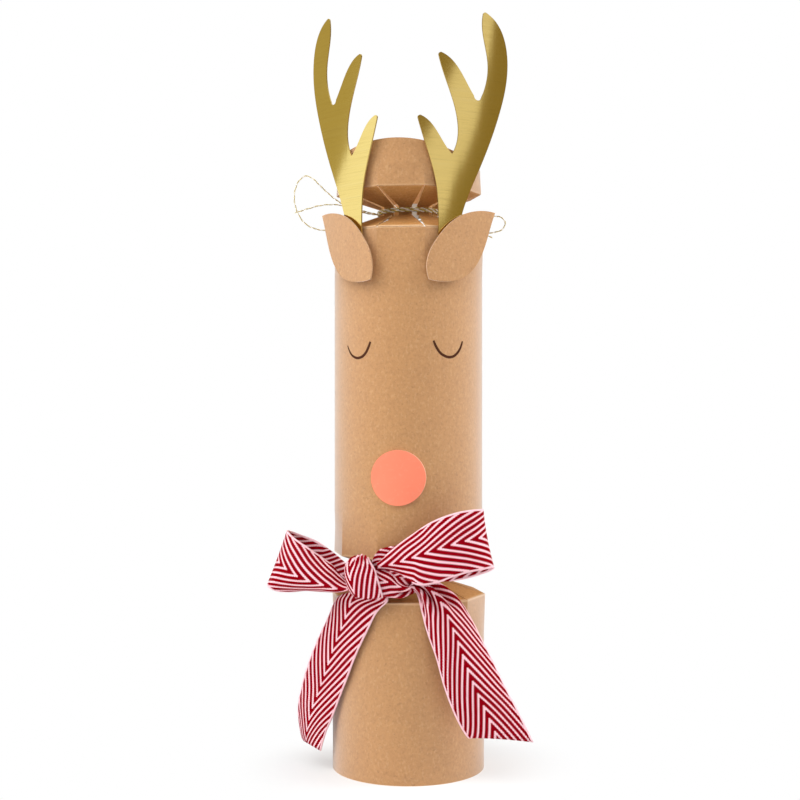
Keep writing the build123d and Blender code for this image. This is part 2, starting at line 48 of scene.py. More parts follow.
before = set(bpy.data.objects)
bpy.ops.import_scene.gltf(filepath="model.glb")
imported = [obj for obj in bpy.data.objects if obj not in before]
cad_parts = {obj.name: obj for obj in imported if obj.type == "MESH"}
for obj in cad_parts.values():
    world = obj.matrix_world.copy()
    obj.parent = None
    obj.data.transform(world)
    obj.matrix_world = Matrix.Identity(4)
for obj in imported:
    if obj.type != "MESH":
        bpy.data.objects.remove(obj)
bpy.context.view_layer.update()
MM = 0.001

# Radii of the tubes, and thicknesses of the foil and of the foam pads, in millimetres
BARREL_R, FOOT_R, HEAD_R = 24.6, 25.2, 23.9
FOIL_T, PAD_T = 0.45, 1.0
# Turns of the bow, the nose, the glued seam, and the antlers with their ears
BOW_TURN, NOSE_TURN, SEAM_TURN = 6.0, -1.7, 168.0
ANTLER_TURNS = {"left": -42.0, "right": 32.0}
WEAVE_UV = "weave"


def paint(red, green, blue):
    """A screen colour from 0 to 255 as the linear colour that a shader takes."""
    shares = [level / 255 for level in (red, green, blue)]
    return tuple(s / 12.92 if s <= 0.04045 else ((s + 0.055) / 1.055) ** 2.4 for s in shares)


def colour(name, description, *levels):
    """A colour property, with its screen colour."""
    return bpy.props.FloatVectorProperty(
        name=name, description=description, subtype="COLOR", size=3, min=0, max=1, default=paint(*levels)
    )


def length(name, description, default):
    """A length property, in metres."""
    return bpy.props.FloatProperty(
        name=name, description=description, default=default, min=0, unit="LENGTH", precision=5
    )


def share(name, description, default, most=1.0):
    """A plain number property."""
    return bpy.props.FloatProperty(name=name, description=description, default=default, min=0, max=most)


class CardLook(bpy.types.PropertyGroup):
    """Kraft card of the tubes, strips and ears, and the face's ink and paper."""

    kraft: colour("Kraft", "Colour of the card's face", 190, 138, 82)
    fleck: colour("Fleck", "Colour of the darker fibres", 148, 98, 52)
    pale: colour("Pale fibre", "Colour of the paler fibres", 212, 170, 120)
    # This colour is also the creases' pale line, which is partly a painted highlight along each fold
    cut: colour("Cut edge", "Colour of the card's cut edges", 236, 198, 150)
    gloss: share("Gloss", "Specular level of the card", 0.6)
    bloom: share("Bloom", "Sheen of the card's fibres at a grazing view", 0.9)
    roughness: share("Roughness", "Least roughness of the card", 0.5)
    ink: colour("Ink", "Colour of the printed eyes", 70, 34, 14)
    nose: colour("Nose", "Colour of the nose disc", 255, 141, 110)


class FoilLook(bpy.types.PropertyGroup):
    """Brushed foil card of the antlers."""

    gold: colour("Gold", "Colour of the foil", 246, 222, 138)
    brushing: length("Brushing", "Height of one brushed line", 0.00028)
    roughness: share("Roughness", "Roughness of the foil", 0.06)


class RibbonLook(bpy.types.PropertyGroup):
    """Herringbone ribbon of the bow."""

    red: colour("Red", "Colour of the red yarn", 146, 0, 18)
    white: colour("White", "Colour of the white yarn", 254, 208, 216)
    width: length("Width", "Width of the ribbon", 0.0186)
    thickness: length("Thickness", "Thickness of the ribbon", 0.0004)
    repeat: length("Repeat", "Length of one red and one white stripe along the ribbon", 0.00445)
    slope: share("Slope", "Length along the ribbon for each length across, along a stripe", 2.4, 5)
    yarn: length("Yarn", "Width of one yarn", 0.00029)


class TwineLook(bpy.types.PropertyGroup):
    """Two-strand twine of the upper choke."""

    gold: colour("Gold", "Colour of the metallic strand", 204, 184, 104)
    white: colour("White", "Colour of the cotton strand", 255, 250, 236)
    diameter: length("Diameter", "Diameter over both strands", 0.0005)
    drawn: length("Wound diameter", "Diameter over both strands where the twine is wound", 0.0008)
    lay: length("Lay", "Length in which a strand goes once round", 0.0034)


class ContentsLook(bpy.types.PropertyGroup):
    """Snap, paper crown, motto and spinning top."""

    snap: colour("Snap card", "Colour of the snap's strips", 226, 222, 214)
    sleeve: colour("Sleeve", "Colour of the snap's paper sleeve", 226, 214, 190)
    tissue: colour("Tissue", "Colour of the paper crown", 206, 58, 66)
    motto: colour("Motto", "Colour of the motto slip", 244, 240, 230)
    beech: colour("Beech", "Colour of the top's wood", 214, 172, 122)
    peg: colour("Peg", "Colour of the stained peg", 172, 40, 44)
    crinkle: length("Crinkle", "Depth of the crown's crinkles", 0.00022)


class StageLook(bpy.types.PropertyGroup):
    """Camera and light."""

    distance: length("Distance", "Distance of the camera from the tube's axis", 0.454)
    height: length("Height", "Height of the camera", 0.1228)
    azimuth: share("Azimuth", "Turn of the camera round the tube, in degrees", 6.0, 360)
    lens: share("Lens", "Focal length in millimetres", 61.2, 300)
    left: share("Left", "Power of the soft light at the left, in watts", 8.1, 100)
    right: share("Right", "Power of the soft light at the right, in watts", 8.0, 100)
    over: share("Over", "Power of the soft light overhead, in watts", 5.2, 100)
    ambient: share("Ambient", "Strength of the light from all round", 0.13, 5)


class CrackerLook(bpy.types.PropertyGroup):
    """All the settings of the cracker."""

    card: bpy.props.PointerProperty(type=CardLook)
    foil: bpy.props.PointerProperty(type=FoilLook)
    ribbon: bpy.props.PointerProperty(type=RibbonLook)
    twine: bpy.props.PointerProperty(type=TwineLook)
    contents: bpy.props.PointerProperty(type=ContentsLook)
    stage: bpy.props.PointerProperty(type=StageLook)


def maths(operation, swapped=False):
    """A method that makes a maths node of a value and, where it takes one, another value or number."""

    def method(self, other=0.0):
        first, second = (other, self) if swapped else (self, other)
        return self.graph.node("ShaderNodeMath", {"operation": operation}, {0: first, 1: second})

    return method


class Value:
    """A node's output, so that sums on values read as Python."""

    def __init__(self, graph, socket):
        self.graph, self.socket = graph, socket

    __add__ = maths("ADD")
    __radd__ = maths("ADD", swapped=True)
    __sub__ = maths("SUBTRACT")
    __rsub__ = maths("SUBTRACT", swapped=True)
    __mul__ = maths("MULTIPLY")
    __truediv__ = maths("DIVIDE")
    __abs__ = maths("ABSOLUTE")
    fraction = maths("FRACT")
    floor = maths("FLOOR")
    root = maths("SQRT")
    sine = maths("SINE")
    cosine = maths("COSINE")
    larger = maths("MAXIMUM")

    def rise(self, low, high):
        """0 below low and 1 above high, smooth between them."""
        return self.graph.node(
            "ShaderNodeMapRange",
            {"interpolation_type": "SMOOTHSTEP"},
            {"Value": self, "From Min": low, "From Max": high, "To Min": 0.0, "To Max": 1.0},
        )

    def between(self, low, high, fade):
        """1 from low to high, and 0 beyond a fade outside them."""
        return self.rise(low - fade, low) * (1 - self.rise(high, high + fade))


class Graph:
    """A node tree, with short ways to add to it."""

    def __init__(self, tree):
        self.tree = tree

    def node(self, kind, settings=None, sockets=None, out=0):
        """A new node with its settings and its inputs, as the output that is asked for."""
        made = self.tree.nodes.new(kind)
        for name, setting in (settings or {}).items():
            setattr(made, name, setting)
        for key, content in (sockets or {}).items():
            self.connect(content, made.inputs[key])
        return Value(self, made.outputs[out]) if made.outputs else made

    def connect(self, content, socket):
        """Gives an input a value or a plain setting."""
        if isinstance(content, Value):
            self.tree.links.new(content.socket, socket)
        else:
            socket.default_value = content

    def outputs(self, kind, sockets=None):
        """All the outputs of a new node."""
        made = self.node(kind, None, sockets).socket.node
        return [Value(self, socket) for socket in made.outputs]

    def shape(self, kind, geometry, **sockets):
        """A geometry node with its first input and others, which have underscores for spaces."""
        named = {name.replace("_", " "): content for name, content in sockets.items()}
        return self.node(f"GeometryNode{kind}", None, {0: geometry, **named})

    def vector(self, operation, first, second=(0, 0, 0), out=0):
        return self.node("ShaderNodeVectorMath", {"operation": operation}, {0: first, 1: second}, out)

    def split(self, vector):
        return self.outputs("ShaderNodeSeparateXYZ", {0: vector})

    def joined(self, x, y, z):
        return self.node("ShaderNodeCombineXYZ", None, {0: x, 1: y, 2: z})

    def noise(self, place, scale, detail=2.0, roughness=0.5):
        """Noise of one scale, or of one for each axis."""
        if isinstance(scale, tuple):
            place, scale = self.vector("MULTIPLY", place, scale), 1.0
        sockets = {"Vector": place, "Scale": scale, "Detail": detail, "Roughness": roughness}
        return self.node("ShaderNodeTexNoise", None, sockets)


class Finish(Graph):
    """A material of one Principled shader."""

    def __init__(self, name, **constants):
        self.material = bpy.data.materials.new(name)
        self.material.use_nodes = True
        super().__init__(self.material.node_tree)
        self.shader = self.tree.nodes["Principled BSDF"]
        for socket, content in constants.items():
            self.feed(socket.replace("_", " "), content)

    def feed(self, socket, content):
        self.connect(content, self.shader.inputs[socket])

    def place(self, out="Object"):
        return self.node("ShaderNodeTexCoord", out=out)

    def tint(self, amount, base, other):
        """base, turned towards other by amount."""
        sockets = {0: amount}
        for key, shade in ((6, base), (7, other)):
            sockets[key] = shade if isinstance(shade, Value) else (*shade, 1)
        return self.node("ShaderNodeMix", {"data_type": "RGBA"}, sockets, 2)

    def layered(self, shade, *layers):
        """shade under layers of (noise, level where one starts, level where it is full, amount, shade)."""
        for noise, low, high, amount, other in layers:
            shade = self.tint(noise.rise(low, high) * amount, shade, other)
        return shade

    def done(self, shade, roughness, *relief):
        """The material, with its colour, roughness and, if any, relief of (height, strength, distance)."""
        self.feed("Base Color", shade)
        self.feed("Roughness", roughness)
        if relief:
            sockets = dict(zip(("Height", "Strength", "Distance"), relief))
            self.feed("Normal", self.node("ShaderNodeBump", None, sockets))
        return self.material

    def blend(self, amount, other):
        """Mixes another shader into the surface."""
        sockets = {0: amount, 1: Value(self, self.shader.outputs[0]), 2: other}
        both = self.node("ShaderNodeMixShader", None, sockets)
        self.connect(both, self.tree.nodes["Material Output"].inputs["Surface"])

    def mix_shaded_copy(self, amount):
        """Mixes in a shaded copy of the same surface, with no sheen and little gloss, as painted shade."""
        sockets = {"Specular IOR Level": SHADED_COPY_GLOSS}
        for name in ("Base Color", "Roughness", "Normal"):
            sockets[name] = Value(self, self.shader.inputs[name].links[0].from_socket)
        self.blend(amount, self.node("ShaderNodeBsdfPrincipled", None, sockets))


def settings():
    """The scene's cracker settings."""
    return bpy.context.scene.cracker


def shown(node):
    """A CAD node's object."""
    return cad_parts[node]


def wear(piece, material):
    """Gives a piece its material."""
    piece.data.materials.clear()
    piece.data.materials.append(material)


def polar(radius, turn, z):
    """The place at a radius and turn round the tube's axis."""
    angle = math.radians(turn)
    return Vector((radius * math.sin(angle), -radius * math.cos(angle), z))


def sideways(turn):
    """The direction round the tube at a turn, to the viewer's right."""
    return Vector((math.cos(math.radians(turn)), math.sin(math.radians(turn)), 0))


def piece_of(name, data):
    """A new object for a mesh or other data, at the origin."""
    made = bpy.data.objects.new(name, data)
    bpy.context.scene.collection.objects.link(made)
    return made


def settled(piece):
    """A piece remade with the plain mesh that its modifiers give."""
    evaluated = piece.evaluated_get(bpy.context.evaluated_depsgraph_get())
    mesh = bpy.data.meshes.new_from_object(evaluated)
    name = piece.name
    bpy.data.objects.remove(piece)
    mesh.name = name
    return piece_of(name, mesh)


def smooth_along(stations, steps):
    """Points on a smooth curve through stations, with steps to each span. A station may be any array."""
    stations = np.asarray(stations, float)
    first = 3 * stations[0] - 3 * stations[1] + stations[2]
    last = 3 * stations[-1] - 3 * stations[-2] + stations[-3]
    padded = np.concatenate([[first], stations, [last]])
    points = []
    for before, start, end, after in zip(padded, padded[1:], padded[2:], padded[3:]):
        for t in np.arange(steps) / steps:
            points.append(0.5 * (2 * start + (end - before) * t
                                 + (2 * before - 5 * start + 4 * end - after) * t ** 2
                                 + (3 * start - before - 3 * end + after) * t ** 3))
    points.append(stations[-1])
    return np.array(points)


def grid_mesh(name, points, uv=None):
    """A mesh of quads from points in rows and columns."""
    points = np.array(points)
    rows, columns = points.shape[:2]
    faces = [
        (i * columns + j, i * columns + j + 1, (i + 1) * columns + j + 1, (i + 1) * columns + j)
        for i in range(rows - 1)
        for j in range(columns - 1)
    ]
    mesh = bpy.data.meshes.new(name)
    mesh.from_pydata(points.reshape(-1, 3).tolist(), [], faces)
    if uv is not None:
        layer = mesh.uv_layers.new(name=WEAVE_UV)
        corners = np.zeros(len(mesh.loops), int)
        mesh.loops.foreach_get("vertex_index", corners)
        layer.data.foreach_set("uv", uv.reshape(-1, 2)[corners].ravel())
    mesh.shade_smooth()
    return mesh


def modified(piece, kind, **values):
    """A piece remade through one modifier."""
    modifier = piece.modifiers.new(kind, kind)
    for name, value in values.items():
        setattr(modifier, name, value)
    return settled(piece)


def thickened(piece, thickness):
    """A sheet with an even thickness, half on each side."""
    return modified(piece, "SOLIDIFY", thickness=thickness, offset=0, use_even_offset=False)


# Heights of the card's creases, each with how strongly its pale line shows (partly broken fibres, partly a
# painted highlight), and of the strips in the chokes, where a copy of the card bare of sheen paints their
# shade
CREASES = {"foot": ((0.0574, 0.8),), "barrel": ((0.0713, 0.8), (0.1769, 1.0)), "head": ((0.1901, 0.3),)}
LOWER_CHOKE, UPPER_CHOKE = (0.0578, 0.071), (0.1774, 0.1898)
# Gloss of the shaded copy that paints the chokes' shade, and the height over which it fades in
SHADED_COPY_GLOSS, SHADED_COPY_FADE = 0.05, 0.0003
# Distances from a crease or the seam at which it starts and ends to fade, and how far back the seam starts
CREASE_FADE, SEAM_FADE, SEAM_BACK = (0.0001, 0.0006), (0.00008, 0.0002), 0.004
# How far a face has to point round or up to be a cut edge, and the heights of the rim and the head's top
EDGE_FACING, RIM_TOP, HEAD_TOP = (0.55, 0.8), 0.00015, (0.192, 0.194)
EAR_PALENESS = 0.1


def kraft_finish(name, cut_rule, seam_radius=0.0, creases=(), painted_shade_heights=None, paleness=0.85):
    """Kraft card: fibres and flecks, paler creases and cut edges, and the glued seam where a tube has one.

    cut_rule takes the finish and gives 1 on cut edges. creases are heights, each with its strength; the pale
    line on a crease is partly broken fibres and partly a painted highlight along the fold. The next argument
    is
    two heights: from the first to the second the card is mixed with a copy of itself bare of sheen and with
    little gloss, which paints the shade in the choke. paleness is how far the cut edges turn to their own
    colour.
    """
    look = settings().card
    card = Finish(name, Specular_IOR_Level=look.gloss, Sheen_Weight=look.bloom, Sheen_Roughness=0.5)
    place = card.place()
    x, y, z = card.split(place)
    cloud = card.noise(place, 150, 3)
    mottle = card.noise(place, 700, 3, 0.6)
    fine = card.noise(place, 1300, 2, 0.6)
    fibre = card.noise(place, (1300, 1300, 800), 2, 0.6)
    speck = card.noise(place, 900, 1.5, 0.4)
    shade = card.layered(
        look.kraft,
        (mottle, 0.36, 0.7, 0.18, look.fleck),
        (fine, 0.46, 0.72, 0.3, look.fleck),
        (fibre, 0.5, 0.74, 0.34, look.pale),
        (speck, 0.68, 0.75, 0.4, look.fleck),
        (cloud, 0.35, 0.75, 0.06, look.fleck),
    )
    for height, strength in creases:
        # Painted highlight: a pale line along each crease, partly broken fibres and partly light painted on
        # the fold
        line = 1 - abs(z - height).rise(*CREASE_FADE)
        shade = card.tint(line * (0.35 + mottle * 0.6) * strength, shade, look.cut)
    if seam_radius:
        away = abs(x - polar(seam_radius, SEAM_TURN, 0).x * MM)
        seam = (1 - away.rise(*SEAM_FADE)) * y.rise(0.0, SEAM_BACK)
        shade = card.tint(seam * 0.75, shade, look.fleck)
    shade = card.tint(cut_rule(card) * paleness, shade, look.cut)
    relief = fine + fibre * 0.6 + mottle * 0.8
    card.done(shade, look.roughness + fine * 0.15, relief, 0.2, 0.00008)
    # Painted shade: in the choke the card is mixed with a copy of itself bare of sheen and with little gloss
    if painted_shade_heights:
        card.mix_shaded_copy(z.between(*painted_shade_heights, SHADED_COPY_FADE))
    return card.material


def strip_edges(card):
    """1 on the cut sides of a choke's strips, whose normals point round the tube."""
    x, y, _ = card.split(card.place())
    nx, ny, _ = card.split(card.place("Normal"))
    reach = (x * x + y * y).root() + 0.0001
    return abs((nx * y - ny * x) / reach).rise(*EDGE_FACING)


def foot_edges(card):
    """The strips' sides and the foot's rim."""
    z = card.split(card.place())[2]
    return strip_edges(card).larger(1 - z.rise(0.0, RIM_TOP))


def head_edges(card):
    """The strips' sides and the head's arched top edge."""
    z = card.split(card.place())[2]
    upward = card.split(card.place("Normal"))[2]
    return strip_edges(card).larger(upward.rise(*EDGE_FACING) * z.rise(*HEAD_TOP))


def outline_edges(turn):
    """The cut outline of a card that faces a turn."""

    def rule(card):
        facing = card.vector("DOT_PRODUCT", card.place("Normal"), polar(1, turn, 0)[:], "Value")
        return 1 - abs(facing).rise(0.35, 0.6)

    return rule


class CRACKER_OT_card(bpy.types.Operator):
    """Finish the tubes, the strips of both chokes and the ears in kraft card"""

    bl_idname = "cracker.card"
    bl_label = "Kraft card"

    def execute(self, context):
        tubes = (
            ("barrel", strip_edges, BARREL_R, LOWER_CHOKE),
            ("foot", foot_edges, FOOT_R, LOWER_CHOKE),
            ("head", head_edges, HEAD_R, UPPER_CHOKE),
        )
        for tube, cut_rule, radius, choke in tubes:
            wear(shown(f"{tube}_card"), kraft_finish(f"kraft_{tube}", cut_rule, radius, CREASES[tube], choke))
        strips = kraft_finish("kraft_strips", strip_edges, creases=CREASES["barrel"], painted_shade_heights=UPPER_CHOKE)
        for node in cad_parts:
            if node.startswith("petal_"):
                wear(shown(node), strips)
        for side, turn in ANTLER_TURNS.items():
            kraft = kraft_finish(f"kraft_ear_{side}", outline_edges(turn), paleness=EAR_PALENESS)
            wear(shown(f"ear_{side}"), kraft)
        return {"FINISHED"}


# The closed eyes: points of (turn, height in millimetres) and the line's half width there, in millimetres
EYES = {
    "left": (
        (-46.6, 139.4, 0.2), (-44.7, 137.8, 0.28), (-41.3, 136.2, 0.34), (-36.0, 135.3, 0.4),
        (-30.9, 135.7, 0.42), (-27.6, 136.9, 0.43), (-25.3, 138.5, 0.42), (-23.5, 140.4, 0.34),
    ),
    "right": (
        (24.9, 140.7, 0.34), (27.3, 138.5, 0.42), (30.6, 136.7, 0.42),
        (34.5, 135.8, 0.42), (38.1, 135.5, 0.42), (42.3, 135.9, 0.42),
        (46.2, 137.2, 0.4), (48.9, 138.8, 0.38), (50.7, 140.7, 0.3),
    ),
}
EYE_STEPS, EYE_ACROSS, EYE_PRINT = 8, (-1, -0.5, 0, 0.5, 1), 0.03


def eye(side, ink):
    """A printed eye, laid on the barrel."""
    line = smooth_along(EYES[side], EYE_STEPS)
    flat = np.stack([np.radians(line[:, 0]) * BARREL_R, line[:, 1]], axis=1)
    along = np.gradient(flat, axis=0)
    along /= np.linalg.norm(along, axis=1)[:, None]
    across = np.stack([-along[:, 1], along[:, 0]], axis=1)
    rows = []
    for middle, out, half in zip(flat, across, line[:, 2]):
        row = []
        for offset in EYE_ACROSS:
            around, z = middle + out * half * offset
            row.append(polar(BARREL_R + EYE_PRINT, math.degrees(around / BARREL_R), z) * MM)
        rows.append(row)
    piece = thickened(piece_of(f"eye_{side}", grid_mesh(f"eye_{side}", rows)), EYE_PRINT * MM)
    wear(piece, ink)
    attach(piece, "barrel")


class CRACKER_OT_face(bpy.types.Operator):
    """Print the closed eyes and finish the nose disc"""

    bl_idname = "cracker.face"
    bl_label = "Face"

    def execute(self, context):
        look = settings().card
        ink = Finish("eye_ink", Specular_IOR_Level=0.3)
        grain = ink.noise(ink.place(), 2600, 2, 0.6)
        ink.done(ink.layered(look.ink, (grain, 0.55, 0.8, 0.5, look.fleck)), 0.6 + grain * 0.2)
        for side in EYES:
            eye(side, ink.material)

        disc = Finish("coral_paper", Specular_IOR_Level=0.25)
        pulp = disc.noise(disc.place(), 900, 4, 0.6)
        cloud = disc.noise(disc.place(), 180, 2)
        shade = disc.layered(
            look.nose,
            (pulp, 0.52, 0.8, 0.3, paint(255, 176, 148)),
            (cloud, 0.45, 0.8, 0.18, paint(240, 118, 90)),
        )
        shade = disc.tint(outline_edges(NOSE_TURN)(disc) * 0.8, shade, paint(255, 214, 188))
        wear(shown("nose_disc"), disc.done(shade, 0.72 + pulp * 0.16, pulp, 0.2, 0.00006))
        return {"FINISHED"}


class CRACKER_OT_antlers(bpy.types.Operator):
    """Finish the antlers in brushed foil card and make the foam pads behind the ears"""

    bl_idname = "cracker.antlers"
    bl_label = "Antlers"

    def execute(self, context):
        look = settings().foil
        for side, turn in ANTLER_TURNS.items():
            foil = Finish(f"brushed_foil_{side}", Metallic=1.0)
            lines = foil.noise(foil.place(), (60, 60, 0.5 / look.brushing), 3, 0.7)
            bands = foil.noise(foil.place(), (14, 14, 700), 2)
            edge = outline_edges(turn)(foil)
            shade = foil.layered(
                look.gold,
                (lines, 0.45, 0.75, 0.16, paint(186, 156, 78)),
                (bands, 0.5, 0.8, 0.12, paint(250, 236, 176)),
            )
            shade = foil.tint(edge * 0.7, shade, paint(196, 170, 104))
            roughness = look.roughness + lines * 0.05 + edge * 0.3
            wear(shown(f"antler_{side}"), foil.done(shade, roughness, lines + bands * 0.5, 0.05, 0.00002))
            pad(side, turn)
        return {"FINISHED"}


# The foam pads in millimetres, the powers that square their faces, sides and corners, and their quads
PAD_SIZE, PAD_Z, PAD_BULGE = (6.4, 10.0), 168.4, 0.25
PAD_SHIFT = {"left": 1.5, "right": 2.3}
PAD_DEPTH = 0.47 * PAD_T
PAD_FACE, PAD_SIDE, PAD_CORNER = 0.35, 0.3, 0.86
PAD_ROWS, PAD_COLUMNS, WELD_GAP = 32, 64, 1e-6


def pad(side, turn):
    """A foam pad between an antler and its ear, bulging a little at its sides."""
    out, aside, up = (np.array(axis) for axis in (polar(1, turn, 0), sideways(turn), (0, 0, 1)))
    middle = polar(BARREL_R + FOIL_T + PAD_T / 2, turn, PAD_Z) + sideways(turn) * PAD_SHIFT[side]
    lift = np.radians(np.linspace(-90, 90, PAD_ROWS + 1))[:, None, None]
    angle = np.linspace(0, 2 * math.pi, PAD_COLUMNS + 1)[:, None]
    depth = PAD_DEPTH * np.sign(lift) * np.abs(np.sin(lift)) ** PAD_FACE
    swell = np.abs(np.cos(lift)) ** PAD_SIDE
    square = np.maximum(np.abs(np.cos(angle)), np.abs(np.sin(angle))) ** PAD_CORNER
    half_w, half_h = ((size / 2 - PAD_BULGE + PAD_BULGE * swell) * swell for size in PAD_SIZE)
    across = aside * half_w * np.cos(angle) / square + up * half_h * np.sin(angle) / square
    points = (np.array(middle) + across + out * depth) * MM
    foam = Finish(f"foam_{side}")
    cells = foam.noise(foam.place(), 3200, 2, 0.6)
    shade = foam.layered(paint(246, 245, 240), (cells, 0.4, 0.7, 0.5, paint(214, 212, 204)))
    piece = piece_of(f"foam_pad_{side}", grid_mesh(f"foam_pad_{side}", points))
    piece = modified(piece, "WELD", merge_threshold=WELD_GAP)
    wear(piece, foam.done(shade, 0.9, cells, 0.4, 0.00008))
    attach(piece, "barrel")
    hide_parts(f"ear_pad_{side}")


# The bow in millimetres, before its own turn round the tube: rows of an edge, the middle and the other edge,
# each as x, y and z
LOOP_LEFT = (
    (-18.6, -21.5, 63.8, -18.6, -25.0, 62.6, -18.6, -21.5, 61.4),
    (-20.2, -21.8, 64.4, -20.8, -25.2, 62.2, -21.6, -21.8, 60.9),
    (-22.0, -21.0, 66.4, -23.4, -24.9, 62.5, -25.0, -20.0, 60.7),
    (-24.0, -20.2, 68.9, -26.0, -24.4, 63.2, -28.9, -17.6, 60.5),
    (-27.6, -19.6, 71.6, -29.9, -23.6, 64.1, -33.2, -15.8, 60.5),
    (-30.5, -20.0, 73.7, -34.0, -22.6, 65.4, -37.7, -15.9, 60.1),
    (-32.9, -20.0, 75.4, -37.4, -21.3, 67.0, -41.9, -16.3, 60.3),
    (-36.4, -18.2, 77.6, -40.4, -18.8, 69.0, -44.6, -15.9, 61.2),
    (-39.0, -14.4, 79.4, -42.3, -14.0, 70.4, -45.6, -12.9, 62.2),
    (-38.5, -10.2, 79.1, -41.4, -9.2, 70.3, -44.4, -8.6, 61.8),
    (-33.7, -8.4, 77.1, -36.6, -7.2, 68.4, -38.8, -7.0, 59.9),
    (-29.4, -9.2, 75.4, -31.4, -8.0, 66.6, -32.8, -8.0, 60.2),
    (-24.9, -11.6, 72.6, -26.0, -10.6, 65.9, -26.2, -11.0, 61.2),
    (-21.6, -15.0, 70.4, -21.6, -14.8, 65.4, -21.0, -15.4, 61.9),
    (-18.0, -18.4, 67.4, -17.2, -18.8, 64.9, -16.6, -19.0, 62.6),
)
LOOP_RIGHT = (
    (-10.2, -24.6, 70.6, -9.6, -26.4, 69.2, -9.2, -24.0, 67.8),
    (-8.6, -25.2, 71.6, -7.4, -27.2, 69.8, -7.0, -24.8, 68.3),
    (-5.8, -27.0, 74.5, -3.9, -29.2, 70.9, -3.3, -27.2, 67.8),
    (-2.2, -28.8, 77.3, -0.4, -31.6, 72.4, -0.2, -30.2, 66.3),
    (1.8, -30.2, 80.3, 3.4, -33.5, 73.8, 2.9, -33.2, 64.6),
    (6.2, -32.0, 83.5, 7.8, -34.8, 75.5, 8.4, -34.8, 65.3),
    (10.5, -33.8, 85.7, 12.2, -35.8, 77.0, 13.4, -36.0, 67.3),
    (15.5, -34.9, 87.4, 16.9, -36.0, 78.4, 18.7, -36.4, 68.9),
    (19.9, -34.0, 88.0, 21.2, -34.9, 79.2, 23.2, -35.2, 69.6),
    (23.1, -31.6, 88.0, 24.2, -31.6, 79.6, 26.4, -31.8, 69.8),
    (21.9, -28.9, 87.3, 23.1, -28.6, 78.4, 25.7, -28.7, 68.4),
    (16.6, -28.1, 84.6, 18.4, -27.8, 75.8, 21.2, -28.0, 66.7),
    (11.4, -28.1, 82.0, 13.2, -27.8, 73.4, 15.8, -28.0, 65.4),
    (5.6, -28.0, 79.0, 7.4, -27.9, 71.6, 9.6, -28.0, 65.0),
    (0.4, -27.8, 76.9, 1.6, -28.0, 70.6, 3.2, -28.0, 65.6),
    (-4.4, -27.4, 76.1, -3.4, -27.0, 70.6, -2.4, -26.4, 66.2),
    (-8.8, -26.9, 74.9, -7.6, -25.6, 70.2, -6.8, -24.6, 66.6),
    (-10.8, -26.3, 72.4, -10.0, -24.6, 69.2, -9.4, -23.2, 66.6),
    (-11.6, -24.8, 69.6, -11.4, -23.2, 67.6, -11.2, -22.0, 65.8),
)
TAIL_LEFT = (
    (-16.6, -20.2, 61.8, -13.4, -23.2, 61.8, -8.6, -25.0, 61.4),
    (-20.6, -17.8, 59.8, -15.6, -22.8, 59.8, -6.4, -26.4, 58.8),
    (-23.6, -13.1, 56.9, -18.2, -20.6, 57.1, -9.9, -25.0, 54.8),
    (-26.2, -10.4, 50.9, -20.8, -18.0, 50.0, -13.2, -23.2, 48.1),
    (-29.8, -7.9, 43.1, -23.9, -14.9, 42.1, -16.7, -20.8, 40.4),
    (-32.7, -5.7, 35.8, -26.4, -12.4, 34.7, -19.4, -18.3, 33.1),
    (-35.2, -1.5, 27.6, -29.1, -8.5, 26.8, -22.2, -14.6, 25.4),
    (-36.9, 1.6, 19.0, -31.8, -6.2, 19.5, -24.6, -12.0, 18.8),
    (-36.5, 5.0, 10.6, -33.5, -3.7, 12.0, -26.8, -10.0, 13.4),
    (-35.3, 8.2, 5.9, -33.8, -0.8, 7.7, -28.7, -8.5, 6.9),
)
TAIL_RIGHT = (
    (-1.6, -21.6, 61.4, 0.4, -23.0, 62.4, 1.8, -22.4, 63.8),
    (2.0, -24.4, 61.0, 6.0, -25.4, 62.2, 9.6, -22.4, 63.2),
    (3.9, -27.2, 55.0, 10.6, -28.2, 57.6, 15.9, -23.0, 59.0),
    (6.2, -27.8, 48.0, 13.4, -29.2, 51.6, 20.0, -23.2, 52.3),
    (8.7, -28.2, 41.0, 15.8, -29.2, 45.4, 23.4, -23.4, 45.6),
    (10.8, -28.6, 33.2, 18.2, -29.0, 38.6, 27.0, -23.8, 38.7),
    (13.4, -28.4, 25.7, 21.2, -28.2, 31.1, 30.6, -24.6, 31.3),
    (16.2, -27.4, 19.5, 24.3, -27.2, 24.3, 34.2, -25.2, 24.6),
    (18.8, -26.2, 15.5, 28.2, -26.4, 15.3, 39.4, -25.6, 14.0),
)
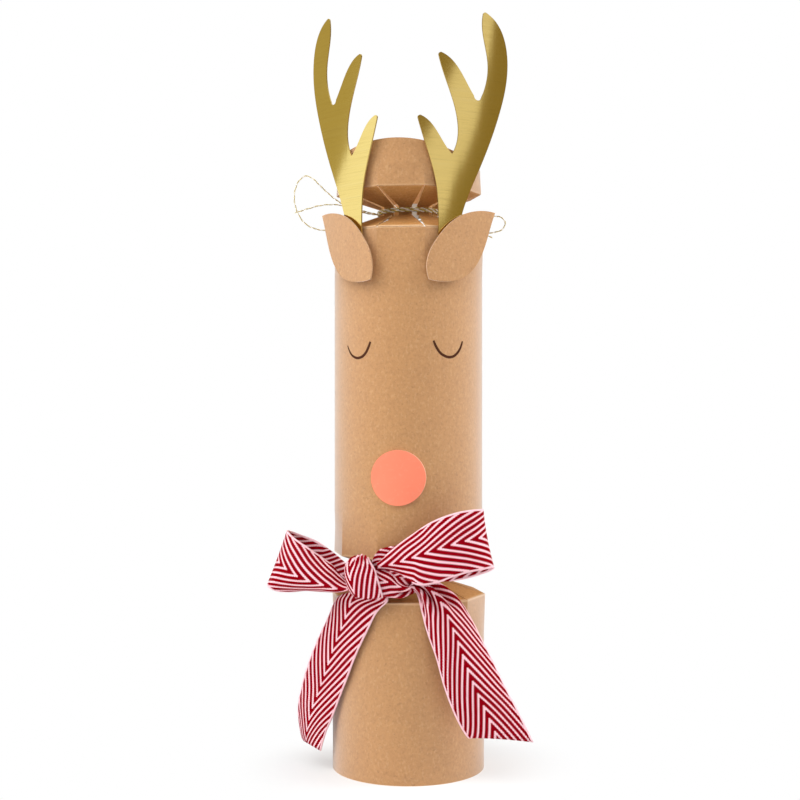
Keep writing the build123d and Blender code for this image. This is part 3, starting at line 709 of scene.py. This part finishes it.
# The knot's rows and those of the length beside it have five points, as their edges are folded under
KNOT = (
    (-13.6, -21.6, 61.6, -16.4, -22.0, 61.0, -16.4, -24.4, 60.2, -12.6, -25.2, 59.6, -8.8, -24.8, 60.0),
    (-13.9, -22.6, 61.4, -17.8, -23.8, 60.9, -16.4, -26.9, 60.2, -12.4, -28.0, 59.9, -8.0, -28.2, 60.2),
    (-14.2, -23.2, 62.4, -18.7, -24.6, 62.0, -17.0, -27.7, 61.6, -12.6, -28.9, 61.4, -8.1, -29.2, 61.4),
    (-14.5, -23.4, 64.6, -19.4, -25.0, 64.4, -17.8, -28.0, 64.2, -13.2, -29.4, 64.0, -8.8, -29.6, 63.8),
    (-14.8, -23.4, 67.4, -19.9, -24.9, 67.2, -18.4, -27.9, 67.0, -14.0, -29.2, 66.8, -9.6, -29.2, 66.4),
    (-14.9, -23.0, 69.8, -19.5, -24.2, 69.8, -18.2, -26.9, 69.8, -14.3, -28.2, 69.8, -10.5, -28.0, 68.8),
    (-14.7, -21.8, 70.6, -18.0, -22.8, 71.2, -17.4, -25.4, 71.8, -14.9, -26.8, 72.2, -12.2, -26.0, 71.2),
    (-14.4, -20.0, 69.6, -16.4, -20.8, 70.6, -16.4, -22.8, 71.6, -14.8, -23.8, 72.4, -12.8, -23.0, 71.6),
    (-13.8, -18.2, 67.2, -14.8, -18.8, 67.8, -15.0, -20.0, 68.4, -14.0, -20.4, 68.8, -12.6, -19.8, 68.2),
)
BAND_FRONT = (
    (-11.6, -21.4, 66.0, -11.4, -24.4, 68.2, -11.0, -27.0, 66.0, -10.4, -27.4, 61.6, -10.2, -24.0, 60.8),
    (-8.8, -21.6, 65.4, -9.0, -24.6, 68.2, -8.6, -27.4, 65.2, -8.0, -27.6, 60.8, -7.8, -23.8, 60.8),
    (-5.6, -21.6, 64.6, -5.6, -24.6, 67.8, -5.5, -27.4, 64.4, -5.4, -27.2, 60.2, -5.2, -23.6, 61.0),
    (-3.0, -21.2, 63.8, -2.9, -23.8, 66.6, -2.6, -26.2, 62.9, -2.6, -25.6, 60.2, -2.6, -22.6, 61.4),
    (-0.6, -20.4, 63.4, -0.4, -22.6, 65.0, 0.1, -24.6, 62.6, 0.1, -24.0, 61.2, 0.0, -21.4, 62.0),
    (2.0, -19.0, 63.2, 2.2, -20.4, 64.4, 2.8, -21.8, 63.2, 2.6, -21.2, 62.0, 2.4, -19.6, 62.6),
)
BAND_ROUND_R, BAND_LOW, BAND_HIGH = 10.75, 62.75, 65.95
BAND_TURNS = range(-20, 341, 30)
RIBBON_STEPS, RIBBON_ACROSS = 7, 40
# Pleats: their greatest depths in millimetres, the share of the width below which they start, how much less
# it is where they are full, and their phase
DEEP_PLEAT, SLIGHT_PLEAT = 1.5, 0.15
PLEAT_FROM, PLEAT_OVER, PLEAT_PHASE = 0.94, 0.1, 0.6
# How far the weave may spread where the ribbon is folded under
WEAVE_SLACK = 1.12


def band_rows():
    """The band's rows round the neck."""
    heights = BAND_HIGH, (BAND_LOW + BAND_HIGH) / 2, BAND_LOW
    return [[polar(BAND_ROUND_R, turn, z) for z in heights] for turn in BAND_TURNS]


def ribbon_points(rows, pleats, deepest, width):
    """A ribbon through rows, in millimetres, pleated where they are narrow, by at most the deepest pleat."""
    rows = smooth_along(np.reshape(rows, (len(rows), -1, 3)), RIBBON_STEPS)
    points = smooth_along(rows.swapaxes(0, 1), RIBBON_ACROSS // (rows.shape[1] - 1)).swapaxes(0, 1)
    reach = np.linalg.norm(np.diff(points, axis=1), axis=2).sum(1)
    depth = np.minimum(np.sqrt(np.maximum(width ** 2 - reach ** 2, 0)) / (4 * pleats), deepest)
    depth *= np.clip((PLEAT_FROM - reach / width) / PLEAT_OVER, 0, 1)
    normal = np.cross(np.gradient(points, axis=1), np.gradient(points, axis=0))
    normal /= np.maximum(np.linalg.norm(normal, axis=2), 1e-9)[..., None]
    wave = np.sin(2 * math.pi * pleats * np.linspace(0, 1, RIBBON_ACROSS + 1) + PLEAT_PHASE)
    return points + normal * (depth[:, None] * wave)[..., None]


def ribbon_piece(name, rows, pleats, deepest, slope, points_out, material):
    """A length of ribbon, and how long it is, in metres.

    slope is that of its stripes, which a pull may have changed. points_out says if chevrons point to its end.
    """
    look = settings().ribbon
    width = look.width / MM
    points = ribbon_points(rows, pleats, deepest, width)
    middle = points[:, RIBBON_ACROSS // 2]
    along = np.concatenate([[0], np.cumsum(np.linalg.norm(np.diff(middle, axis=0), axis=1))])
    steps = np.cumsum(np.linalg.norm(np.diff(points, axis=1, prepend=points[:, :1]), axis=2), axis=1)
    across = steps - steps[:, [RIBBON_ACROSS // 2]]
    halves = np.where(across < 0, -across[:, :1], across[:, -1:])
    across *= np.minimum(width / 2 / halves, WEAVE_SLACK)
    run = along[:, None] * (-1 if points_out else 1) + np.abs(across) * (look.slope - slope)
    uv = np.stack([across, run], axis=2)
    spun = np.array(Matrix.Rotation(math.radians(BOW_TURN), 3, "Z"))
    piece = thickened(piece_of(name, grid_mesh(name, points @ spun.T * MM, uv)), look.thickness)
    wear(piece, material)
    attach(piece, "barrel")
    return piece, along[-1] * MM


# Where in a repeat red turns to white, the selvedge in millimetres, and the width of a weft in warps
WHITE_EDGE, SELVEDGE, WEFT = (0.295, 0.345), (0.62, 0.5), 1.2


def ribbon_finish():
    """Woven herringbone: stepped stripes each side of the middle, pale selvedges and yarn relief."""
    look = settings().ribbon
    cloth = Finish("herringbone_ribbon", Specular_IOR_Level=0.03)
    across, along, _ = cloth.split(cloth.node("ShaderNodeUVMap", {"uv_map": WEAVE_UV}))
    half, warp = look.width / MM / 2, look.yarn / MM
    weft = warp * WEFT
    across_step = ((abs(across) / warp).floor() + 0.5) * warp
    along_step = ((along / weft).floor() + 0.5) * weft
    phase = ((along_step - across_step * look.slope) * (MM / look.repeat)).fraction()
    white = abs(phase - 0.5).rise(*WHITE_EDGE)
    edge = abs(across).rise(*(half - width for width in SELVEDGE))
    fuzz = cloth.noise(cloth.place(), 1800, 2, 0.6)
    red = cloth.layered(look.red, (fuzz, 0.4, 0.8, 0.3, paint(110, 0, 14)))
    pale = cloth.layered(look.white, (fuzz, 0.45, 0.8, 0.4, paint(240, 178, 188)))
    ridge = (along * (2 * math.pi / weft)).sine() + (across * (2 * math.pi / warp)).sine() * 0.6
    relief = ridge * 0.5 + white * 0.7 + edge * 0.6
    return cloth.done(cloth.tint(white.larger(edge), red, pale), 0.75 + fuzz * 0.15, relief, 0.3, 0.00008)


class CRACKER_OT_ribbon(bpy.types.Operator):
    """Tie the herringbone ribbon round the lower choke, with its bow"""

    bl_idname = "cracker.ribbon"
    bl_label = "Ribbon bow"

    def execute(self, context):
        cloth = ribbon_finish()
        bow = (
            ("ribbon_band", band_rows(), 4, DEEP_PLEAT, 2.4, True, "gathered", ["barrel_card", "foot_card"]),
            ("ribbon_knot", KNOT, 8, DEEP_PLEAT, 2.7, False, "gathered", ["ribbon_band"]),
            ("ribbon_loop_left", LOOP_LEFT, 1, SLIGHT_PLEAT, 2.4, False, "folded", ["ribbon_knot"]),
            ("ribbon_loop_right", LOOP_RIGHT, 1, SLIGHT_PLEAT, 2.4, False, "folded", ["ribbon_knot"]),
            ("ribbon_tail_left", TAIL_LEFT, 3, DEEP_PLEAT, 2.2, True, "hung", ["ribbon_knot"]),
            ("ribbon_tail_right", TAIL_RIGHT, 3, DEEP_PLEAT, 2.4, False, "hung", ["ribbon_knot"]),
        )
        for node, rows, pleats, deepest, slope, points_out, held, rests_on in bow:
            piece, run = ribbon_piece(f"{node}_woven", rows, pleats, deepest, slope, points_out, cloth)
            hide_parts(node)
        piece, run = ribbon_piece("ribbon_band_front", BAND_FRONT, 4, DEEP_PLEAT, 2.4, True, cloth)
        return {"FINISHED"}


# The twine's routes, in millimetres, from the knot at the back of the upper neck
TWINE_ROUTES = {
    "twine_loop_left": (
        (-0.6, 12.3, 184.6), (-8.4, 11.8, 185.0), (-16.4, 10.5, 185.6), (-24.4, 8.6, 189.0),
        (-29.2, 7.2, 193.0), (-33.6, 5.4, 197.7), (-36.1, 5.0, 198.2), (-38.6, 5.0, 195.9),
        (-39.9, 5.0, 191.1), (-38.9, 5.2, 185.8), (-35.7, 5.7, 181.1), (-30.4, 7.2, 179.5),
        (-23.4, 9.2, 179.8), (-16.0, 10.9, 181.4), (-8.6, 12.3, 182.9), (-0.6, 12.7, 183.4),
    ),
    "twine_loop_right": (
        (0.6, 12.3, 184.6), (8.0, 11.6, 185.2), (15.6, 9.9, 184.8), (23.0, 8.0, 184.2), (28.6, 6.8, 183.7),
        (31.2, 6.2, 183.2), (32.4, 6.0, 180.8), (30.7, 6.0, 178.5), (26.8, 6.7, 177.9), (22.0, 8.6, 178.2),
        (16.6, 10.4, 180.6), (8.4, 12.3, 182.7), (0.6, 12.7, 183.4),
    ),
    "twine_tail_left": (
        (-0.6, 13.2, 184.2), (-8.8, 13.5, 185.0), (-16.6, 12.4, 186.6), (-24.6, 11.0, 189.0),
        (-31.0, 9.8, 188.8), (-35.7, 9.0, 187.4), (-40.4, 8.8, 185.9),
    ),
    "twine_tail_right": (
        (0.6, 13.2, 184.2), (8.2, 13.3, 183.9), (15.4, 12.2, 182.0), (21.6, 10.6, 179.6), (27.6, 9.0, 176.7),
    ),
}
# The knot's place, radius, size in radii and depth in radii, and the winding's helix, in millimetres
TWINE_KNOT_AT, TWINE_KNOT_R, KNOT_POINTS = Vector((0.0, 12.0, 184.0)), 1.15, 28
KNOT_SIZE, KNOT_DEPTH = 0.62 / 1.7, 0.75
WIND_R, WIND_PITCH, WIND_Z = 10.2, 0.75, 183.27
WIND_START, WIND_TURN, WIND_POINTS = 186.0, 708.0, 40
# Strands: radius and swing as shares of the twine's diameter, length of a step, and sides
STRAND_R, STRAND_SWING, STRAND_STEP, STRAND_SIDES = 0.27, 0.23, 0.00016, 8


def winding_route():
    """Two turns of twine round the upper neck, in millimetres."""
    turns = [WIND_TURN * i / WIND_POINTS for i in range(WIND_POINTS + 1)]
    return [polar(WIND_R, WIND_START + turn, WIND_Z + WIND_PITCH * turn / 360) for turn in turns]


def knot_route():
    """A tight overhand knot at the back of the neck, in millimetres."""
    points = []
    for i in range(KNOT_POINTS + 1):
        angle = 2 * math.pi * i / KNOT_POINTS
        ring = KNOT_SIZE * (math.sin(angle) + 2 * math.sin(2 * angle))
        rise = KNOT_SIZE * (math.cos(angle) - 2 * math.cos(2 * angle))
        points.append(TWINE_KNOT_AT + Vector((ring, -KNOT_DEPTH * math.sin(3 * angle), rise)) * TWINE_KNOT_R)
    return points


def route_curve(name, points):
    """A smooth curve with a route's points as its control points, in millimetres."""
    data = bpy.data.curves.new(name, "CURVE")
    data.dimensions, data.resolution_u = "3D", 16
    spline = data.splines.new("NURBS")
    spline.points.add(len(points) - 1)
    for target, place in zip(spline.points, points):
        target.co = (*(c * MM for c in place), 1)
    spline.order_u = 3
    spline.use_endpoint_u = True
    return piece_of(name, data)


def node_group(name, inputs):
    """A new geometry group, and its inputs, which are numbers unless their names say what else they are."""
    tree = bpy.data.node_groups.new(name, "GeometryNodeTree")
    for label in inputs:
        kind = label if label in ("Geometry", "Material") else "Float"
        tree.interface.new_socket(label, in_out="INPUT", socket_type=f"NodeSocket{kind}")
    tree.interface.new_socket("Geometry", in_out="OUTPUT", socket_type="NodeSocketGeometry")
    graph = Graph(tree)
    return graph, graph.outputs("NodeGroupInput")[:len(inputs)]


def grown(piece, tree, sizes):
    """A piece remade by a geometry group, with what its inputs are to be."""
    modifier = piece.modifiers.new("Nodes", "NODES")
    modifier.node_group = tree
    for name, size in sizes.items():
        modifier[tree.interface.items_tree[name].identifier] = size
    return settled(piece)


def strands_tree(gold, white):
    """Geometry nodes: two strands that wind round the curve they are given."""
    graph, (curve, diameter, lay) = node_group("twine_strands", ("Geometry", "Diameter", "Lay"))
    sockets = {"Curve": curve, "Length": STRAND_STEP}
    line = graph.node("GeometryNodeResampleCurve", {"mode": "LENGTH"}, sockets)
    along = graph.node("GeometryNodeSplineParameter", out="Length")
    normal = graph.node("GeometryNodeInputNormal")
    side = graph.vector("CROSS_PRODUCT", graph.node("GeometryNodeInputTangent"), normal)
    sockets = {"Resolution": STRAND_SIDES, "Radius": diameter * STRAND_R}
    section = graph.node("GeometryNodeCurvePrimitiveCircle", {"mode": "RADIUS"}, sockets)
    join = graph.node("GeometryNodeJoinGeometry")
    for start, material in ((0.0, gold), (math.pi, white)):
        angle = along / lay * (2 * math.pi) + start
        reach = diameter * STRAND_SWING
        swings = (
            graph.node("ShaderNodeVectorMath", {"operation": "SCALE"}, {0: axis, "Scale": amount * reach})
            for axis, amount in ((normal, angle.cosine()), (side, angle.sine()))
        )
        strand = graph.shape("SetPosition", line, Offset=graph.vector("ADD", *swings))
        tube = graph.shape("CurveToMesh", strand, Profile_Curve=section, Fill_Caps=True)
        dressed = graph.shape("SetMaterial", graph.shape("SetShadeSmooth", tube), Material=material)
        graph.connect(dressed, join.socket.node.inputs[0])
    graph.node("NodeGroupOutput", None, {0: graph.shape("RealizeInstances", join)})
    return graph.tree


def twine_piece(name, points, tree, diameter):
    """Twine along a route, and the points of its centreline."""
    curve = route_curve(f"{name}_strands", points)
    bare = bpy.data.meshes.new_from_object(curve)
    line = [tuple(v.co) for v in bare.vertices]
    bpy.data.meshes.remove(bare)
    piece = grown(curve, tree, {"Diameter": diameter, "Lay": settings().twine.lay})
    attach(piece, "head")
    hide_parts(name)
    return piece, line


def strand_finish(name, shade, metallic):
    """A spun strand with fine fibres."""
    strand = Finish(name)
    fibres = strand.noise(strand.place(), 5200, 2, 0.6)
    darker = tuple(c * 0.45 for c in shade)
    strand.feed("Metallic", fibres.rise(0.2, 0.6) * metallic)
    return strand.done(strand.layered(shade, (fibres, 0.4, 0.75, 0.5, darker)), 0.5, fibres, 0.3, 0.00003)


class CRACKER_OT_twine(bpy.types.Operator):
    """Wind the two-strand twine round the upper choke and tie its bow at the back"""

    bl_idname = "cracker.twine"
    bl_label = "Twine"

    def execute(self, context):
        look = settings().twine
        gold = strand_finish("twine_gold", look.gold, 0.2)
        tree = strands_tree(gold, strand_finish("twine_white", look.white, 0.0))
        for name, points in TWINE_ROUTES.items():
            piece, line = twine_piece(name, points, tree, look.diameter)
        twine_piece("twine_winding", winding_route(), tree, look.drawn)
        twine_piece("twine_knot", knot_route(), tree, look.diameter)
        return {"FINISHED"}


# Heights between which the snap's strips carry their dark coat
SNAP_COAT = (0.1145, 0.1335)


class CRACKER_OT_snap(bpy.types.Operator):
    """Finish the snap: two card strips and the paper sleeve round their lap"""

    bl_idname = "cracker.snap"
    bl_label = "Snap"

    def execute(self, context):
        look = settings().contents
        card = Finish("snap_card")
        pulp = card.noise(card.place(), 1100, 3, 0.6)
        grit = card.noise(card.place(), 4200, 1)
        patch = card.split(card.place())[2].between(*SNAP_COAT, MM)
        shade = card.layered(look.snap, (pulp, 0.5, 0.8, 0.3, paint(150, 146, 138)))
        shade = card.tint(patch * (0.55 + grit * 0.6), shade, paint(64, 62, 64))
        coated = card.done(shade, 0.8 - patch * 0.25, pulp + grit * patch, 0.25, 0.00006)
        for node in ("snap_upper_strip", "snap_lower_strip"):
            wear(shown(node), coated)
        wear(shown("snap_sleeve"), paper_finish("sleeve_paper", look.sleeve, paint(198, 184, 158)))
        return {"FINISHED"}


def paper_finish(name, shade, darker):
    """Thin paper with pulp and small creases, with painted shade darkening each crease's line."""
    paper = Finish(name, Specular_IOR_Level=0.25)
    pulp = paper.noise(paper.place(), 1300, 3, 0.6)
    crease = paper.noise(paper.place(), 260, 3, 0.6)
    mixed = paper.layered(shade, (pulp, 0.5, 0.8, 0.3, darker))
    # Painted shade: the colour darkens along each small crease
    mixed = paper.tint((1 - abs(crease - 0.5).rise(0.0, 0.05)) * 0.35, mixed, darker)
    return paper.done(mixed, 0.75 + pulp * 0.15, crease * 2 + pulp * 0.3, 0.3, 0.00012)


# Rolled papers: place, outer radius, sheet, pitch, turns, height and the height of the points, in millimetres
ROLLS = {
    "hat_roll": ((-12.0, -4.0, 70.65), 8.95, 0.3, 1.5, 3.5, 60.0, 6.0),
    "motto_slip": ((0.0, 17.0, 70.95), 4.9, 0.15, 1.2, 2.5, 42.0, 0.0),
}
ROLL_INPUTS = ("Radius", "Pitch", "Turns", "Height", "Point height", "Crinkle", "Seed", "Material")
# Vertices along and across a roll's sheet, and points and ripples in a turn and in a metre of its height
ROLL_COLUMNS, ROLL_ROWS, CROWN_POINTS = 253, 61, 6
RIPPLE_ROUND, RIPPLE_UP = 30, 110


def roll_tree():
    """Geometry nodes: a sheet rolled up, with points along its top and a little crinkling."""
    graph, given = node_group("rolled_paper", ROLL_INPUTS)
    radius, pitch, turns, height, points, crinkle, seed, material = given
    sockets = {"Size X": 1.0, "Size Y": 1.0, "Vertices X": ROLL_COLUMNS, "Vertices Y": ROLL_ROWS}
    sheet = graph.node("GeometryNodeMeshGrid", None, sockets)
    x, y, _ = graph.split(graph.node("GeometryNodeInputPosition"))
    turned, rise = (x + 0.5) * turns, y + 0.5
    angle = turned * (2 * math.pi)
    peak = abs((turned * CROWN_POINTS).fraction() - 0.5) * 2
    z = rise * (height - points * (1 - peak))
    spot = graph.joined(turned * RIPPLE_ROUND + seed, z * RIPPLE_UP, seed)
    ripple = (graph.noise(spot, 1.0, 3, 0.6) - 0.5) * crinkle * 2
    away = radius - pitch * turned + ripple
    moved = graph.joined(angle.cosine() * away, angle.sine() * away, z)
    rolled = graph.shape("SetShadeSmooth", graph.shape("SetPosition", sheet, Position=moved))
    rolled = graph.shape("SetMaterial", graph.shape("RealizeInstances", rolled), Material=material)
    graph.node("NodeGroupOutput", None, {0: rolled})
    return graph.tree


def rolled_piece(node, body, tree, material, crinkle, seed):
    """A rolled paper in place of its CAD solid."""
    place, radius, sheet, pitch, turns, height, points = ROLLS[node]
    piece = piece_of(f"{node}_paper", bpy.data.meshes.new(f"{node}_paper"))
    sizes = (radius * MM, pitch * MM, turns, height * MM, points * MM, crinkle, seed, material)
    piece = grown(piece, tree, dict(zip(ROLL_INPUTS, sizes)))
    piece.data.transform(Matrix.Translation(Vector(place) * MM))
    piece = thickened(piece, sheet * MM)
    wear(piece, material)
    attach(piece, body)
    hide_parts(node)


# The spinning top's painted stripe, above its lowest point
TOP_STRIPE, STRIPE_FADE = (0.0104, 0.0126), 0.0002


class CRACKER_OT_contents(bpy.types.Operator):
    """Roll the paper crown and the motto slip and finish the band and the spinning top"""

    bl_idname = "cracker.contents"
    bl_label = "Contents"

    def execute(self, context):
        look = settings().contents
        tree = roll_tree()
        tissue = paper_finish("crown_tissue", look.tissue, paint(158, 32, 42))
        motto = paper_finish("motto_paper", look.motto, paint(214, 208, 194))
        rolled_piece("hat_roll", "hat", tree, tissue, look.crinkle, 3.0)
        rolled_piece("motto_slip", "motto", tree, motto, look.crinkle * 0.3, 11.0)
        wear(shown("hat_band"), paper_finish("band_paper", look.motto, paint(206, 196, 176)))

        wood = Finish("turned_beech", Coat_Weight=0.25)
        grain = wood.noise(wood.place(), (260, 1400, 1400), 3, 0.6)
        rays = wood.noise(wood.place(), (500, 2600, 900), 2)
        shade = wood.layered(
            look.beech,
            (grain, 0.42, 0.72, 0.6, paint(176, 126, 80)),
            (rays, 0.66, 0.72, 0.5, paint(140, 92, 54)),
        )
        above = wood.split(wood.place())[2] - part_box("top_body")[0].z
        shade = wood.tint(above.between(*TOP_STRIPE, STRIPE_FADE), shade, look.peg)
        wear(shown("top_body"), wood.done(shade, 0.42 + grain * 0.15, grain, 0.12, 0.00006))

        stain = Finish("stained_peg", Coat_Weight=0.3)
        streak = stain.noise(stain.place(), (2400, 2400, 220), 3, 0.6)
        shade = stain.layered(look.peg, (streak, 0.45, 0.75, 0.5, paint(116, 22, 28)))
        wear(shown("top_peg"), stain.done(shade, 0.4 + streak * 0.15, streak, 0.1, 0.00005))
        return {"FINISHED"}


# Glowing panels that only gloss sees, which paint reflections in the foil: corners of (azimuth, elevation)
# in degrees from the antlers' middle
PANELS = {
    "panel_right_far": (
        (30, -9), (47, 0), (60.2, 7.1), (61.9, 8.6), (64.6, 9.8), (67.8, 11.6), (69.9, 13.6), (71.2, 15),
        (80, 30), (150, 30), (150, -9),
    ),
    "panel_right_near": ((12, -9), (17, -8), (40, 3.5), (55.5, 11.2), (75, 21), (93, 30), (12, 30)),
    "panel_left": ((-129, -8), (-113, 0), (-94, 9.5), (-74, 19.5), (-53, 30), (-170, 30), (-170, -9)),
}
# The shades the panels glow with: painted dark, pale and olive reflections, mostly in the foil
PANEL_SHADES = {"panel_right_far": (0.255, 0.19, 0.07), "panel_right_near": (0.255, 0.19, 0.07),
                "panel_back": (0.76, 0.71, 0.68), "panel_left": (0.44, 0.37, 0.18)}
PANEL_R, PANEL_MIDDLE = 1.2, Vector((0, 0, 0.2))
BACK_R, BACK_AZIMUTHS, BACK_ELEVATIONS = 1.4, range(0, 161, 10), (-14, 10, 36)
# The floor, and the distances from the axis at which it starts to turn white and is white
FLOOR_RINGS, FLOOR_Z, FLOOR_COLUMNS = (0.0, 0.05, 0.1, 0.2, 0.5, 4.0), -0.00002, 64
FADE_NEAR, FADE_FAR, FADE_LEAST = 0.026, 0.06, 0.45
# Lamps: distance from the axis, turn, height and size
LAMPS = {"left": (0.8, -65, 0.62, 0.9), "right": (0.8, 98, 0.58, 0.55), "over": (0.45, -4, 0.9, 0.8)}
LAMP_TARGET = Vector((0, 0, 0.12))
# The camera's sensor in millimetres, its shift in sensor widths, and its clipping
SENSOR_MM, SHIFT_X, SHIFT_Y, CLIP_NEAR, CLIP_FAR = 36, -0.0105, -0.00375, 0.01, 20


def ray_kinds(graph):
    """1 for rays that come from the camera, from gloss or through glass."""
    kinds = ("Camera", "Glossy", "Transmission")
    camera, glossy, through = (graph.node("ShaderNodeLightPath", out=f"Is {kind} Ray") for kind in kinds)
    return camera.larger(glossy).larger(through)


def panel_place(radius, azimuth, elevation):
    """The place on a sphere round the antlers."""
    level = math.cos(math.radians(elevation))
    return PANEL_MIDDLE + polar(level, azimuth, math.sin(math.radians(elevation))) * radius


def panel(name, mesh):
    """A panel that only gloss sees, glowing with its shade: a painted reflection, not a lamp."""
    made = piece_of(name, mesh)
    painted_reflection = Finish(f"{name}_cloth", Base_Color=(0, 0, 0, 1), Roughness=1.0, Specular_IOR_Level=0.0,
                 Emission_Color=(*PANEL_SHADES[name], 1), Emission_Strength=1.0)
    wear(made, painted_reflection.material)
    made.visible_camera = made.visible_diffuse = made.visible_shadow = False
    made.visible_transmission = made.visible_volume_scatter = False


def panels():
    """The dark glowing panels, and the pale one behind those at the right, which paint the foil's
    reflections.
    """
    for name, corners in PANELS.items():
        mesh = bpy.data.meshes.new(name)
        points = [tuple(panel_place(PANEL_R, *corner)) for corner in corners]
        mesh.from_pydata(points, [], [tuple(range(len(points)))])
        panel(name, mesh)
    points = [[panel_place(BACK_R, azimuth, level) for azimuth in BACK_AZIMUTHS] for level in BACK_ELEVATIONS]
    panel("panel_back", grid_mesh("panel_back", points))


def floor():
    """A pale floor that keeps the cracker's shadow and turns white further out."""
    turns = [360 * i / FLOOR_COLUMNS for i in range(FLOOR_COLUMNS + 1)]
    points = [[polar(radius, turn, FLOOR_Z) for turn in turns] for radius in FLOOR_RINGS]
    made = piece_of("floor", grid_mesh("floor", points))
    pale = Finish("pale_floor", Base_Color=(0.86, 0.86, 0.86, 1), Roughness=0.9, Specular_IOR_Level=0.1)
    x, y, _ = pale.split(pale.place())
    away = (x * x + y * y).root()
    fade = FADE_LEAST + away.rise(FADE_NEAR, FADE_FAR) * (1 - FADE_LEAST)
    glow = pale.node("ShaderNodeEmission", None, {"Color": (1, 1, 1, 1), "Strength": 1.0})
    pale.blend(ray_kinds(pale) * fade, glow)
    wear(made, pale.material)


def lamp(name, place, size, watts):
    """A soft square lamp that gloss doesn't see, aimed at the cracker's middle."""
    data = bpy.data.lights.new(name, "AREA")
    data.shape, data.size, data.energy = "SQUARE", size, watts
    made = piece_of(name, data)
    made.location = place
    made.rotation_euler = (LAMP_TARGET - place).to_track_quat("-Z", "Y").to_euler()
    made.visible_glossy = False


class CRACKER_OT_stage(bpy.types.Operator):
    """Set up the floor, the lamps, the white surround and the camera"""

    bl_idname = "cracker.stage"
    bl_label = "Stage"

    def execute(self, context):
        look = settings().stage
        scene = context.scene
        floor()
        panels()
        for name, (*place, size) in LAMPS.items():
            lamp(name, polar(*place), size, getattr(look, name))

        world = bpy.data.worlds.new("surround")
        world.use_nodes = True
        scene.world = world
        graph = Graph(world.node_tree)
        strength = look.ambient + ray_kinds(graph) * (1 - look.ambient)
        back = world.node_tree.nodes["Background"]
        back.inputs["Color"].default_value = (1, 1, 1, 1)
        graph.connect(strength, back.inputs["Strength"])

        data = bpy.data.cameras.new("camera")
        data.lens, data.sensor_width = look.lens, SENSOR_MM
        data.shift_x, data.shift_y = SHIFT_X, SHIFT_Y
        data.clip_start, data.clip_end = CLIP_NEAR, CLIP_FAR
        camera = piece_of("camera", data)
        camera.location = polar(look.distance, look.azimuth, look.height)
        camera.rotation_euler = (math.pi / 2, 0, math.radians(look.azimuth))
        scene.camera = camera
        scene.view_settings.view_transform = "Standard"
        return {"FINISHED"}


STEPS = (CRACKER_OT_stage, CRACKER_OT_twine, CRACKER_OT_card, CRACKER_OT_face, CRACKER_OT_antlers,
         CRACKER_OT_ribbon, CRACKER_OT_snap, CRACKER_OT_contents)


class CRACKER_PT_panel(bpy.types.Panel):
    """Lists the cracker's steps and settings"""

    bl_label = "Reindeer cracker"
    bl_space_type = "VIEW_3D"
    bl_region_type = "UI"
    bl_category = "Cracker"

    def draw(self, context):
        for step in STEPS:
            self.layout.operator(step.bl_idname)
        for group in CrackerLook.__annotations__:
            box = self.layout.box()
            held = getattr(context.scene.cracker, group)
            for name in type(held).__annotations__:
                box.prop(held, name)


CLASSES = (CardLook, FoilLook, RibbonLook, TwineLook, ContentsLook, StageLook, CrackerLook, *STEPS,
           CRACKER_PT_panel)


def register():
    for item in CLASSES:
        bpy.utils.register_class(item)
    bpy.types.Scene.cracker = bpy.props.PointerProperty(type=CrackerLook)


def unregister():
    del bpy.types.Scene.cracker
    for item in reversed(CLASSES):
        bpy.utils.unregister_class(item)


def main():
    register()
    bpy.ops.cracker.stage()
    bpy.ops.cracker.twine()
    bpy.ops.cracker.card()
    bpy.ops.cracker.face()
    bpy.ops.cracker.antlers()
    bpy.ops.cracker.ribbon()
    bpy.ops.cracker.snap()
    bpy.ops.cracker.contents()


if __name__ == "__main__":
    main()
